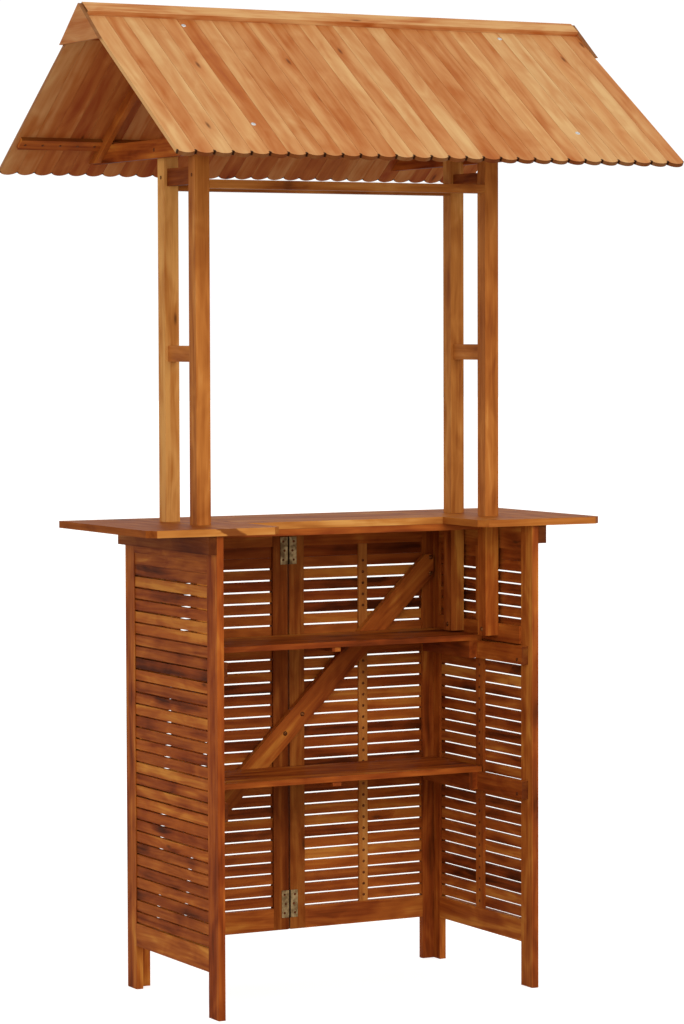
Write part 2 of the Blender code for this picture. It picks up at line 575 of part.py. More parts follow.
def rafter_outline(upper_trim):
    """A rafter from the side, notched over the battens and cut level at its lower end."""
    top, under = PLANK_THICKNESS + GAP, PLANK_THICKNESS + GAP + RAFTER_DEPTH
    outline = [(upper_trim + top * TAN_ROOF, top)]
    for low, high in batten_bands:
        outline += [(low - GAP, top), (low - GAP, batten_seat), (high + GAP, batten_seat), (high + GAP, top)]
    outline += [(RAFTER_END_S, top), (RAFTER_END_S - RAFTER_DEPTH / TAN_ROOF, under),
                (upper_trim + under * TAN_ROOF, under)]
    return outline


for word, turn in (("near", NEAR_TURN), ("far", FAR_TURN)):
    bm = bmesh.new()
    for index in range(ROOF_PLANK_COUNT):
        left = -ROOF_HALF_LENGTH + ROOF_PLANK_PITCH * index
        fill_prism(bm, plank_outline(left + PLANK_GAP / 2, left + ROOF_PLANK_PITCH - PLANK_GAP / 2),
                   0.0, PLANK_THICKNESS, "z")
    planks = hide(add_object(word + "_planks", bm, None, APEX, turn))
    reach = ROOF_HALF_LENGTH - ROOF_BATTEN_INSET
    bm = bmesh.new()
    for low, high in batten_bands:
        fill_box(bm, (-reach, low, PLANK_THICKNESS - LAP),
                 (reach, high, PLANK_THICKNESS + ROOF_BATTEN_THICKNESS))
    deck = add_object(word + "_roof_deck", bm, wood(word + "_deck_wood", ROOF_WOOD), APEX, turn)
    combine(deck, planks, "UNION")
    trim = GAP / 2 / COS_ROOF
    cap = [(trim - CAP_THICKNESS * TAN_ROOF, -CAP_THICKNESS), (CAP_SKIRT, -CAP_THICKNESS), (CAP_SKIRT, -GAP),
           (trim - GAP * TAN_ROOF, -GAP)]
    prism(word + "_ridge_board", wood(word + "_ridge_wood", ROOF_WOOD), cap,
          (-ROOF_HALF_LENGTH, ROOF_HALF_LENGTH), "x", APEX, turn)
    for side, hand in ((-1, "left"), (1, "right")):
        local = side if word == "near" else -side
        name = hand + "_" + word + "_rafter"
        prism(name, wood(name + "_wood", BODY_WOOD), rafter_outline(trim), mirrored(local, *rafter_x), "x",
              APEX, turn)

# Small triangular plates that close the ends of the ridge
plate_x = (ROOF_HALF_LENGTH + GAP, ROOF_HALF_LENGTH + GAP + GABLE_PLATE_THICKNESS)
peak = TOTAL_HEIGHT - GABLE_PLATE_PEAK_DROP
foot = TOTAL_HEIGHT - GABLE_PLATE_FOOT_DROP
for side, word in ((-1, "left"), (1, "right")):
    prism(word + "_gable_plate", wood(word + "_gable_wood", ROOF_WOOD),
          [(-GABLE_PLATE_HALF_WIDTH, foot), (GABLE_PLATE_HALF_WIDTH, foot), (0.0, peak)],
          mirrored(side, *plate_x), "x")
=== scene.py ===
# %% [markdown]
# # A roofed garden bar of oiled acacia
# The real table is sawn, planed and oiled acacia, held together by screws, bolts and nails. The packed
# solids are the fixed frame of this scene. Each board keeps its solid, because the real ones are plain
# straight boards too, and gets a broken edge and its own wood. The fasteners that the solids leave out
# are built here.

# %% Load the frame
import math

import bmesh
import bpy
from mathutils import Matrix, Vector


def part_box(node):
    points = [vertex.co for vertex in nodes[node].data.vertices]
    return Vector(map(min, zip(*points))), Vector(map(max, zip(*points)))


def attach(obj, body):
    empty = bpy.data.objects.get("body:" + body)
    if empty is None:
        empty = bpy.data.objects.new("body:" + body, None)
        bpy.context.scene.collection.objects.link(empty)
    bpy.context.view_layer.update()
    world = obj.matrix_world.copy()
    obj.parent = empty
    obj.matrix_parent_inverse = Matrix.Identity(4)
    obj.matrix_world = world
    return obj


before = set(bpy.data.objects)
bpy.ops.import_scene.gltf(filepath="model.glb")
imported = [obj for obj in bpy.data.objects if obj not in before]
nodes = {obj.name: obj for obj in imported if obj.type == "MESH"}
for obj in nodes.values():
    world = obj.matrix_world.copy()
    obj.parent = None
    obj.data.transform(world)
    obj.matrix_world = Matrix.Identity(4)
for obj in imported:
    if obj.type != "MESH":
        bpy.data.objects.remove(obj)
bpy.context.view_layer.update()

scene = bpy.context.scene

# %% [markdown]
# ## The camera
# The photograph was taken from the server's left, a little above counter height, with a long lens. A
# camera can be placed by eye, but then the far corners never quite meet. Here its place, its three turns
# and the lens were solved from the table's own corners, so it needs no shift.

# %% Camera
PHOTO_SIZE = (684, 1024)
FOCAL_PIXELS = 3501.1
SENSOR_HEIGHT_MM = 36.0
EYE = Vector((-3.6574, -6.8540, 1.4706))
AZIMUTH, PITCH, ROLL = (math.radians(a) for a in (-28.166, -2.965, -0.174))
ahead = Vector((-math.sin(AZIMUTH) * math.cos(PITCH), math.cos(AZIMUTH) * math.cos(PITCH), math.sin(PITCH)))
level = Vector((math.cos(AZIMUTH), math.sin(AZIMUTH), 0.0))
upward = level.cross(ahead)
across = level * math.cos(ROLL) + upward * math.sin(ROLL)
upright = upward * math.cos(ROLL) - level * math.sin(ROLL)
lens = bpy.data.cameras.new("studio_camera")
lens.sensor_fit = "VERTICAL"
lens.sensor_height = SENSOR_HEIGHT_MM
lens.lens = FOCAL_PIXELS / PHOTO_SIZE[1] * SENSOR_HEIGHT_MM
lens.clip_end = 200.0
camera = bpy.data.objects.new("studio_camera", lens)
camera.matrix_world = Matrix.Translation(EYE) @ Matrix((across, upright, -ahead)).transposed().to_4x4()
scene.collection.objects.link(camera)
scene.camera = camera
print("lens in mm:", round(lens.lens, 2))

# %% [markdown]
# ## Colours and nodes
# Colours are read off as sRGB hex values, and the shader wants linear light, so one function converts
# them. One more small function adds a shader node, sets it up and links it. All materials are built with
# these two.

# %% Helpers for materials


def srgb(code):
    """A hex colour such as B97A45 as linear red, green, blue and alpha."""
    channels = [int(code[i:i + 2], 16) / 255 for i in (0, 2, 4)]
    linear = [c / 12.92 if c <= 0.04045 else ((c + 0.055) / 1.055) ** 2.4 for c in channels]
    return (*linear, 1.0)


def put(tree, kind, sockets=None, **settings):
    """Add a node; a socket's value is a number, a colour, or another node's output to link."""
    made = tree.nodes.new(kind)
    for key, value in settings.items():
        setattr(made, key, value)
    for key, value in (sockets or {}).items():
        if isinstance(value, bpy.types.NodeSocket):
            tree.links.new(value, made.inputs[key])
        else:
            made.inputs[key].default_value = value
    return made


print("light sapwood in linear light:", [round(c, 3) for c in srgb("D08838")])


# %% [markdown]
# ## Oiled acacia
# Acacia is sold for garden furniture with all its colour left in: orange-tan sapwood beside red-brown
# heartwood, dark growth lines, small knots, and boards of one table that differ a lot. A saw and a planer
# leave it flat, and a coat of oil deepens the colour and gives a soft sheen. Every board of a set, such
# as the slats of a panel, was cut from another plank. One pattern can serve them all when each board gets
# its own number from its place, and looks at another part of the pattern for it.

# %% Which board a point is in
AXES = {"x": 0, "y": 1, "z": 2}
SEED_STEP = 7.37


def board_number(tree, parts, over, width, start, seed):
    """The number of a point's board, counted across the row, and a number that no other set has."""
    place = put(tree, "ShaderNodeMath", {0: parts[AXES[over]], 1: -start}, operation="ADD").outputs[0]
    number = put(tree, "ShaderNodeMath", {0: place, 1: width}, operation="DIVIDE").outputs[0]
    number = put(tree, "ShaderNodeMath", {0: number}, operation="FLOOR").outputs[0]
    own = put(tree, "ShaderNodeMath", {0: number, 1: seed * SEED_STEP}, operation="ADD").outputs[0]
    return number, own


def laid_out(tree, parts, along, over):
    """A point in a board's own order: along it, across it and through it."""
    deep = ({"x", "y", "z"} - {along, over}).pop()
    order = {0: parts[AXES[along]], 1: parts[AXES[over]], 2: parts[AXES[deep]]}
    return put(tree, "ShaderNodeCombineXYZ", order).outputs[0]


# %% [markdown]
# The grain could be one noise drawn out along the board, but real figure has several sizes at once, so
# the pattern adds them up, each with the size of the real thing. Growth lines are 1 to 2 mm apart in the
# real wood and are drawn at 4 mm, or they would vanish at this distance.

# %% The sizes of the figure, in millimetres along, across and through a board
HEARTWOOD_BANDS = (385.0, 29.0, 33.0)
STREAKS = (180.0, 9.5, 11.0)
GROWTH_LINES = (110.0, 4.0, 4.5)
BLOTCHES = (125.0, 50.0, 50.0)
FIBRE_WANDER = (310.0, 83.0, 83.0)
KNOT_CELL = (154.0, 45.0, 45.0)


def per_metre(sizes):
    """How many of a pattern's sizes, given in millimetres, go into a metre."""
    return tuple(1000.0 / size for size in sizes)


def grain(tree, point, sizes, shift, detail, distortion=0.0):
    """A pattern between 0 and 1 that is drawn out along the board."""
    scaled = {0: point, 1: per_metre(sizes), 2: shift}
    place = put(tree, "ShaderNodeVectorMath", scaled, operation="MULTIPLY_ADD").outputs[0]
    sockets = {"Vector": place, "Scale": 1.0, "Detail": detail, "Roughness": 0.55, "Distortion": distortion}
    return put(tree, "ShaderNodeTexNoise", sockets).outputs[0]


print("bands per metre across a board:", round(per_metre(HEARTWOOD_BANDS)[1], 1))

# %% [markdown]
# ## Knots
# A knot is a branch that the trunk grew around: a dark eye, up to 34 mm long, a redder halo, and fibres
# that bulge round it. Painting each by hand would tie it to one table. A Voronoi pattern has one point in
# every cell, so picking one cell in fourteen scatters them. A knot goes right through a thin board, so
# the pattern has no depth.

# %% Knots
SHARE_WITHOUT_KNOT = 0.93
# Where the eye and the halo end, in cells, from full to none
EYE_DEPTH, EYE_RIM, HALO_RIM = 0.70, (0.03, 0.11), (0.06, 0.42)
# How far the fibres move sideways, in metres, and how much a halo adds to that
FIBRE_SWAY, KNOT_BULGE = (0.0, 0.020, 0.012), 0.35


def knot_marks(tree, board, shift):
    """The dark eyes, and the wider red halo around each."""
    scaled = {0: board, 1: per_metre(KNOT_CELL), 2: shift}
    place = put(tree, "ShaderNodeVectorMath", scaled, operation="MULTIPLY_ADD").outputs[0]
    sockets = {"Vector": place, "Scale": 1.0, "Randomness": 0.8}
    cells = put(tree, "ShaderNodeTexVoronoi", sockets, voronoi_dimensions="2D")
    away = cells.outputs["Distance"]
    chance = put(tree, "ShaderNodeSeparateColor", {0: cells.outputs["Color"]}).outputs[0]
    chosen = {0: chance, 1: SHARE_WITHOUT_KNOT}
    chosen = put(tree, "ShaderNodeMath", chosen, operation="GREATER_THAN").outputs[0]
    eye = {0: away, 1: EYE_RIM[0], 2: EYE_RIM[1], 3: EYE_DEPTH, 4: 0.0}
    eye = put(tree, "ShaderNodeMapRange", eye).outputs[0]
    halo = {0: away, 1: HALO_RIM[0], 2: HALO_RIM[1], 3: 1.0, 4: 0.0}
    halo = put(tree, "ShaderNodeMapRange", halo).outputs[0]
    eye = put(tree, "ShaderNodeMath", {0: eye, 1: chosen}, operation="MULTIPLY").outputs[0]
    halo = put(tree, "ShaderNodeMath", {0: halo, 1: chosen}, operation="MULTIPLY").outputs[0]
    return eye, halo


def bend_fibres(tree, board, halo, shift):
    """Let the fibres wander by a few millimetres and bulge around a knot."""
    wander = grain(tree, board, FIBRE_WANDER, shift, 1.0)
    wander = {0: halo, 1: KNOT_BULGE, 2: wander}
    wander = put(tree, "ShaderNodeMath", wander, operation="MULTIPLY_ADD").outputs[0]
    sway = put(tree, "ShaderNodeVectorMath", {0: FIBRE_SWAY, "Scale": wander}, operation="SCALE").outputs[0]
    return put(tree, "ShaderNodeVectorMath", {0: board, 1: sway}, operation="ADD").outputs[0]


print("knot eyes in mm, long and wide:", [round(2 * EYE_RIM[1] * size) for size in KNOT_CELL[:2]])


# %% [markdown]
# ## From a tone to the colour of a board
# A board's lightness is one number, the tone, to which each pattern adds its share. The tone then picks a
# colour from four: darkest growth line, heartwood, common wood and lightest sapwood. Mixing finished
# colours would also work, but one number is easier to keep in balance.

# %% Tone and colour
TONE_STOPS = (0.10, 0.38, 0.64, 0.92)
RED_WASH, RED_SHARE, KNOT_EYE = "F4D0B0", 0.45, "4E2812"


def add_to_tone(tree, tone, pattern, weight):
    """Add a pattern to the tone, so that the pattern's middle value changes nothing."""
    centred = put(tree, "ShaderNodeMath", {0: pattern, 1: 0.5}, operation="SUBTRACT").outputs[0]
    return put(tree, "ShaderNodeMath", {0: centred, 1: weight, 2: tone}, operation="MULTIPLY_ADD").outputs[0]


def board_colour(tree, tone, tones, redness, eye):
    """The colour of a tone. Some boards are redder than others, and a knot's eye covers all."""
    ramp = put(tree, "ShaderNodeValToRGB", {0: tone})
    stops = ramp.color_ramp.elements
    for stop, place, code in zip(stops, (TONE_STOPS[0], TONE_STOPS[3]), (tones[0], tones[3])):
        stop.position = place
        stop.color = srgb(code)
    for place, code in zip(TONE_STOPS[1:3], tones[1:3]):
        stops.new(place).color = srgb(code)
    red = put(tree, "ShaderNodeMath", {0: redness, 1: RED_SHARE}, operation="MULTIPLY").outputs[0]
    blend = {0: red, 6: ramp.outputs[0], 7: srgb(RED_WASH)}
    colour = put(tree, "ShaderNodeMix", blend, data_type="RGBA", blend_type="MULTIPLY").outputs[2]
    return put(tree, "ShaderNodeMix", {0: eye, 6: colour, 7: srgb(KNOT_EYE)}, data_type="RGBA").outputs[2]


# %% [markdown]
# ## Boards side by side
# Here a set of boards gets its wood. Copying one board's pattern to the next would show at once, so each
# board's own number sends it to a far-off part of the patterns. A board that stands out as light or dark
# is named by its number and moved up or down in tone, because chance alone would put it somewhere else.

# %% The figure of a set of boards
BAND_SHARE, STREAK_SHARE, LINE_SHARE, BLOTCH_SHARE = 0.70, 0.34, 0.20, 0.55
HALO_DARKENING = -0.22
BOARDS_APART = (31.0, 17.0, 23.0)


def figure(tree, point, along, over, width, start, seed, tones, spread,
           picks=(), painted_light_and_shade=0.10, calm=1.0, fine=1.0):
    """Colour and height of boards that lie side by side. Tones go from the darkest to the lightest.

    Spread is how much the boards differ, and picks names those that the eye would call the light or the
    dark ones: (number, change of tone). The value after picks is painted light and shade: how much lighter
    faces that look up are made, and how much darker those that look down. Calm below one gives a plainer
    board, and fine below one gives weaker streaks and lines.
    """
    parts = put(tree, "ShaderNodeSeparateXYZ", {0: point}).outputs
    number, own = board_number(tree, parts, over, width, start, seed)
    chance = put(tree, "ShaderNodeTexWhiteNoise", {"W": own}, noise_dimensions="1D").outputs["Color"]
    lightness, redness = put(tree, "ShaderNodeSeparateColor", {0: chance}).outputs[:2]
    far_off = {0: chance, 1: BOARDS_APART}
    shift = put(tree, "ShaderNodeVectorMath", far_off, operation="MULTIPLY").outputs[0]

    board = laid_out(tree, parts, along, over)
    eye, halo = knot_marks(tree, board, shift)
    bent = bend_fibres(tree, board, halo, shift)
    bands = grain(tree, bent, HEARTWOOD_BANDS, shift, 2.0, 0.6)
    streaks = grain(tree, bent, STREAKS, shift, 3.0, 0.4)
    lines = grain(tree, bent, GROWTH_LINES, shift, 3.0, 0.2)
    blotches = grain(tree, bent, BLOTCHES, shift, 2.0, 0.8)

    base = {0: lightness, 1: spread, 2: 0.5 - spread / 2}
    tone = put(tree, "ShaderNodeMath", base, operation="MULTIPLY_ADD").outputs[0]
    shares = (BAND_SHARE, STREAK_SHARE * fine, LINE_SHARE * fine, BLOTCH_SHARE)
    for pattern, share in zip((bands, streaks, lines, blotches), shares):
        tone = add_to_tone(tree, tone, pattern, share * calm)
    tone = {0: halo, 1: HALO_DARKENING, 2: tone}
    tone = put(tree, "ShaderNodeMath", tone, operation="MULTIPLY_ADD").outputs[0]
    for chosen, change in picks:
        same = put(tree, "ShaderNodeMath", {0: number, 1: chosen, 2: 0.5}, operation="COMPARE").outputs[0]
        tone = put(tree, "ShaderNodeMath", {0: same, 1: change, 2: tone}, operation="MULTIPLY_ADD").outputs[0]
    # Painted light and shade: the tone follows the height of the world normal, so faces that look up are
    # lighter and undersides darker
    normal = put(tree, "ShaderNodeNewGeometry").outputs["Normal"]
    facing_up = put(tree, "ShaderNodeSeparateXYZ", {0: normal}).outputs[2]
    tone = put(tree, "ShaderNodeMath", {0: facing_up, 1: painted_light_and_shade, 2: tone}, operation="MULTIPLY_ADD").outputs[0]
    return board_colour(tree, tone, tones, redness, eye), lines


print("shares of bands, streaks, lines, blotches:", (BAND_SHARE, STREAK_SHARE, LINE_SHARE, BLOTCH_SHARE))


# %% [markdown]
# ## What changes the wood at single places
# End grain drinks more oil than a face does, so faces that look along the grain are darker. The outermost
# roof planks get a colour of their own on their outer edge: a strip of pale sapwood on the near slope, and on
# the far slope a dark brown that is painted shade. Where two rounded plank ends meet, an open corner is left
# that is too deep for light to reach, and its shade is painted as a dark spot. And one wing of the counter
# has a run of heartwood across its pale near edge. Each of these is a mask between 0 and 1 that brings
# another colour in.

# %% Masks
# The middle colour is the painted shade of the open corners; the others are the wood's own
END_GRAIN, OPEN_CORNER_SHADE, HEARTWOOD = "4A220F", "2C1408", "6E3416"
# Where a face begins to count and where it counts in full, and how much of the mask's colour it then gets
END_FACES, SIDE_FACES = (0.40, 0.65, 0.68), (0.50, 0.90, 0.70)
OUTERMOST_PLANK_EDGE = ("x", 0.6085, 0.6200, True)
CORNER_DEPTH, CORNER_CORE = 0.92, 0.7
WING_EDGE, WING_EDGE_Z = ("y", -0.2200, -0.2148), 1.045
HEART_DEPTH, HEART_BLUR, HEART_RAGGED, RAGGED_SIZES = 0.85, 0.003, 0.016, (17.0, 17.0, 6.0)


def within(tree, parts, axis, low, high, folded=False):
    """One where a coordinate, or its size when folded, lies between two limits."""
    place = parts[AXES[axis]]
    if folded:
        place = put(tree, "ShaderNodeMath", {0: place}, operation="ABSOLUTE").outputs[0]
    middle, half = (low + high) / 2, (high - low) / 2
    return put(tree, "ShaderNodeMath", {0: place, 1: middle, 2: half}, operation="COMPARE").outputs[0]


def looking_along(tree, normal, axis, low, high, strength):
    """How far a face looks along an axis: nothing up to the low value, the strength from the high one."""
    part = put(tree, "ShaderNodeSeparateXYZ", {0: normal}).outputs[AXES[axis]]
    size = put(tree, "ShaderNodeMath", {0: part}, operation="ABSOLUTE").outputs[0]
    return put(tree, "ShaderNodeMapRange", {0: size, 1: low, 2: high, 3: 0.0, 4: strength}).outputs[0]


def painted_corner_shade(tree, parts, line, row, pitch, radius):
    """Painted shade: dark spots at the joints of a row that starts at row, on a line across the planks."""
    turns = {0: parts[0], 1: 1 / pitch, 2: 0.5 - row / pitch}
    turns = put(tree, "ShaderNodeMath", turns, operation="MULTIPLY_ADD").outputs[0]
    beside = put(tree, "ShaderNodeMath", {0: turns}, operation="FRACT").outputs[0]
    beside = {0: beside, 1: pitch, 2: -pitch / 2}
    beside = put(tree, "ShaderNodeMath", beside, operation="MULTIPLY_ADD").outputs[0]
    before = put(tree, "ShaderNodeMath", {0: parts[1], 1: line}, operation="SUBTRACT").outputs[0]
    away = put(tree, "ShaderNodeCombineXYZ", {0: beside, 1: before}).outputs[0]
    away = put(tree, "ShaderNodeVectorMath", {0: away}, operation="LENGTH").outputs["Value"]
    spot = {0: away, 1: radius * CORNER_CORE, 2: radius, 3: CORNER_DEPTH, 4: 0.0}
    return put(tree, "ShaderNodeMapRange", spot).outputs[0]


def heart_run(tree, point, parts, middle, half, lean):
    """A leaning run of heartwood across a wing's near edge, with a ragged border."""
    leaning = {0: parts[2], 1: lean, 2: parts[0]}
    place = put(tree, "ShaderNodeMath", leaning, operation="MULTIPLY_ADD").outputs[0]
    border = grain(tree, point, RAGGED_SIZES, (0.0, 0.0, 0.0), 2.0)
    place = {0: border, 1: HEART_RAGGED, 2: place}
    place = put(tree, "ShaderNodeMath", place, operation="MULTIPLY_ADD").outputs[0]
    centre = middle + lean * WING_EDGE_Z + HEART_RAGGED / 2
    away = put(tree, "ShaderNodeMath", {0: place, 1: centre}, operation="SUBTRACT").outputs[0]
    away = put(tree, "ShaderNodeMath", {0: away}, operation="ABSOLUTE").outputs[0]
    run = {0: away, 1: half - HEART_BLUR, 2: half + HEART_BLUR, 3: HEART_DEPTH, 4: 0.0}
    run = put(tree, "ShaderNodeMapRange", run).outputs[0]
    edge = within(tree, parts, *WING_EDGE)
    return put(tree, "ShaderNodeMath", {0: run, 1: edge}, operation="MULTIPLY").outputs[0]


print("pale strip of the outermost planks from x:", OUTERMOST_PLANK_EDGE[1])

# %% [markdown]
# ## One material for a piece that is made of several sets of boards
# A slat pack is 32 level slats with an upright batten nailed across them, and a roof deck has planks one
# way and battens the other. Splitting them would change the frame's solids, so the material holds one set
# of boards for each and shows each inside its own limits. The grain also lifts the surface a little, and
# its ridges are a bit smoother than its hollows, because the oiling cloth rubs them.

# %% The wood itself
OILED_ROUGHNESS, HOLLOWS_ROUGHER, RIDGES_SMOOTHER = 0.46, 0.08, 0.06
GRAIN_RELIEF, GRAIN_HEIGHT = 0.30, 0.0006


def acacia(name, sets, turn=None, end_axis=None, side_tone=None, notch=None, heart=None, sheen=0.04):
    """Oiled acacia. Each set is (limits, values of its figure) and covers the sets before it.

    Turn lays a slope flat: (rotation type, angle). Notch is where the open corners' painted shade lies, and
    heart the run of heartwood, each as the values of its mask. Sheen is how much of the reflection the pores
    leave.
    """
    material = bpy.data.materials.new(name)
    material.use_nodes = True
    tree = material.node_tree
    shader = tree.nodes["Principled BSDF"]
    point = put(tree, "ShaderNodeTexCoord").outputs["Object"]
    normal = put(tree, "ShaderNodeNewGeometry").outputs["Normal"]
    if turn:
        kind, angle = turn
        point = {"Vector": point, "Angle": angle}
        point = put(tree, "ShaderNodeVectorRotate", point, rotation_type=kind).outputs[0]
        normal = {"Vector": normal, "Angle": angle}
        normal = put(tree, "ShaderNodeVectorRotate", normal, rotation_type=kind).outputs[0]
    parts = put(tree, "ShaderNodeSeparateXYZ", {0: point}).outputs
    colour, height = figure(tree, point, **sets[0][1])
    for limits, values in sets[1:]:
        inside = within(tree, parts, *limits[0])
        for limit in limits[1:]:
            more = within(tree, parts, *limit)
            inside = put(tree, "ShaderNodeMath", {0: inside, 1: more}, operation="MULTIPLY").outputs[0]
        other, rise = figure(tree, point, **values)
        colour = put(tree, "ShaderNodeMix", {0: inside, 6: colour, 7: other}, data_type="RGBA").outputs[2]
        height = put(tree, "ShaderNodeMix", {0: inside, 2: height, 3: rise}, data_type="FLOAT").outputs[0]
    masks = []
    if end_axis:
        masks.append((looking_along(tree, normal, end_axis, *END_FACES), END_GRAIN))
    if side_tone:
        outside = looking_along(tree, normal, "x", *SIDE_FACES)
        outermost = within(tree, parts, *OUTERMOST_PLANK_EDGE)
        outside = put(tree, "ShaderNodeMath", {0: outside, 1: outermost}, operation="MULTIPLY").outputs[0]
        masks.append((outside, side_tone))
    if notch:
        masks.append((painted_corner_shade(tree, parts, *notch), OPEN_CORNER_SHADE))
    if heart:
        masks.append((heart_run(tree, point, parts, *heart), HEARTWOOD))
    for mask, code in masks:
        colour = put(tree, "ShaderNodeMix", {0: mask, 6: colour, 7: srgb(code)}, data_type="RGBA").outputs[2]
    tree.links.new(colour, shader.inputs["Base Color"])
    hollows, ridges = OILED_ROUGHNESS + HOLLOWS_ROUGHER, OILED_ROUGHNESS - RIDGES_SMOOTHER
    gloss = {0: height, 1: 0.25, 2: 0.75, 3: hollows, 4: ridges}
    tree.links.new(put(tree, "ShaderNodeMapRange", gloss).outputs[0], shader.inputs["Roughness"])
    # Oiled wood has an index of about 1.5, but open pores break much of the reflection up
    shader.inputs["IOR"].default_value = 1.5
    shader.inputs["Specular IOR Level"].default_value = sheen
    relief = {"Height": height, "Strength": GRAIN_RELIEF, "Distance": GRAIN_HEIGHT}
    tree.links.new(put(tree, "ShaderNodeBump", relief).outputs[0], shader.inputs["Normal"])
    return material


def wear(node, material):
    """Put a finish on one of the frame's solids."""
    nodes[node].data.materials.clear()
    nodes[node].data.materials.append(material)


print("roughness of the oiled wood:", OILED_ROUGHNESS)


# %% [markdown]
# ## Broken edges
# No planed board has a knife edge: sandpaper breaks the arris, and the small round catches the light as a
# thin line. Modelling each round by hand would be slow, so a Bevel modifier rounds each edge where two
# faces meet at more than 40 degrees. The wood is thin in places, so the widths are real ones, about 1 to
# 2 mm.

# %% Edges
SHARP_CORNER = math.radians(40)
SLAT_ARRIS, THIN_ARRIS, BOARD_ARRIS, THICK_ARRIS = 0.0009, 0.0010, 0.0012, 0.0016


def soften(node, radius):
    """Break the sharp edges of one of the frame's solids."""
    edge = nodes[node].modifiers.new("broken_arris", "BEVEL")
    edge.width = radius
    edge.segments = 2
    edge.limit_method = "ANGLE"
    edge.angle_limit = SHARP_CORNER
    edge.use_clamp_overlap = True


print("broken edges in mm:", [1000 * width for width in (SLAT_ARRIS, THIN_ARRIS, BOARD_ARRIS, THICK_ARRIS)])


# %% [markdown]
# ## The colours of the boards
# Five groups of boards can be told apart: the body's slats and rails in deep red-brown, the darker centre
# stiles, counter cleats and side boards, the posts and roof rails in warm orange, the counter's top, and
# the roof, which daylight has faded to tan. Each group has four tones, from its darkest growth lines to
# its lightest sapwood.

# %% Tones
BODY_TONES = ("4C200B", "8A4018", "AE5E24", "D08838")
DARK_TONES = ("421808", "70320F", "8C4819", "AE6A2C")
POST_TONES = ("76381A", "A46028", "BF7A38", "D99C54")
TOP_TONES = ("6A3010", "94501E", "AC682A", "C88A3E")
ROOF_TONES = ("94441C", "B06832", "C48A54", "D6AC74")
# A width that takes in the whole table makes a set of one board, with the number 0
ONE_BOARD = {"width": 5.0, "start": -2.5}
print("groups of boards:", len((BODY_TONES, DARK_TONES, POST_TONES, TOP_TONES, ROOF_TONES)))

# %% [markdown]
# ## Slatted panels
# Each pack of slats is the part of this table with the liveliest wood: every slat comes from another
# board. The side panels show their slats to both sides, with the batten and the posts' rail inside. Slats
# that stand out as light or dark are named by their number, counted from the floor, most of them in the
# left panel, which the eye meets first.

# %% Side panels
SLAT_PITCH, TOP_SLIT, SLATS_BELOW_TOP_SLIT = 0.0259, 0.9277, 30
SLAT_START = TOP_SLIT - SLATS_BELOW_TOP_SLIT * SLAT_PITCH
SLAT_COUNT = 32
INSIDE_LAYER, POST_RAIL = ("x", 0.3700, 0.3880, True), ("z", 0.7688, 0.8092)
# A row whose boards are wide enough to hold the whole batten
SIDE_BATTEN_ROW = {"width": 0.5, "start": -0.25}
# Numbers and changes of tone of the slats that stand out
LEFT_PICKS = ((29, 0.06), (28, -0.10), (25, 0.10), (24, -0.12), (23, -0.18), (22, -0.12), (21, 0.26),
              (19, -0.10), (14, 0.12), (8, -0.12))
RIGHT_PICKS = ((12, 0.2), (20, 0.25), (26, -0.12))
for hand, seed, picks in (("left", 3, LEFT_PICKS), ("right", 5, RIGHT_PICKS)):
    slats = dict(along="y", over="z", width=SLAT_PITCH, start=SLAT_START, seed=seed, tones=BODY_TONES,
                 spread=0.34, picks=picks, calm=1.3)
    batten = dict(along="z", over="y", seed=seed + 40, tones=BODY_TONES, spread=0.1, **SIDE_BATTEN_ROW)
    post_rail = dict(along="y", over="z", seed=seed + 50, tones=BODY_TONES, spread=0.1, **ONE_BOARD)
    sets = [(None, slats), ((INSIDE_LAYER,), batten), ((INSIDE_LAYER, POST_RAIL), post_rail)]
    wear(hand + "_panel_slats", acacia(hand + "_side_slats_oiled_acacia", sets))
    soften(hand + "_panel_slats", SLAT_ARRIS)
print("height of a pack of slats in mm:", round(1000 * SLAT_COUNT * SLAT_PITCH))

# %% [markdown]
# The front wall's packs are the same work turned by a right angle, with a narrow batten that shows on the
# inside and is a good deal lighter than the slats.

# %% Front wall
LEAF_BATTEN_LAYER = ("y", 0.2300, 0.2454)
# A row so wide that both battens lie in its board 1
LEAF_BATTEN_ROW = {"width": 0.5, "start": -0.75}
WALL_PICKS = {"left": ((27, 0.2), (24, -0.2)), "right": ((27, -0.28), (26, -0.2), (29, 0.2), (25, 0.1))}
for hand, seed in (("left", 11), ("right", 13)):
    slats = dict(along="x", over="z", width=SLAT_PITCH, start=SLAT_START, seed=seed, tones=BODY_TONES,
                 spread=0.46, picks=WALL_PICKS[hand])
    batten = dict(along="z", over="x", seed=seed + 60, tones=POST_TONES, spread=0.1, picks=((1, 0.13),),
                  **LEAF_BATTEN_ROW)
    sets = [(None, slats), ((LEAF_BATTEN_LAYER,), batten)]
    wear(hand + "_leaf_slats", acacia(hand + "_wall_slats_oiled_acacia", sets))
    soften(hand + "_leaf_slats", SLAT_ARRIS)
print("slats picked out on the wall:", sum(len(picks) for picks in WALL_PICKS.values()))
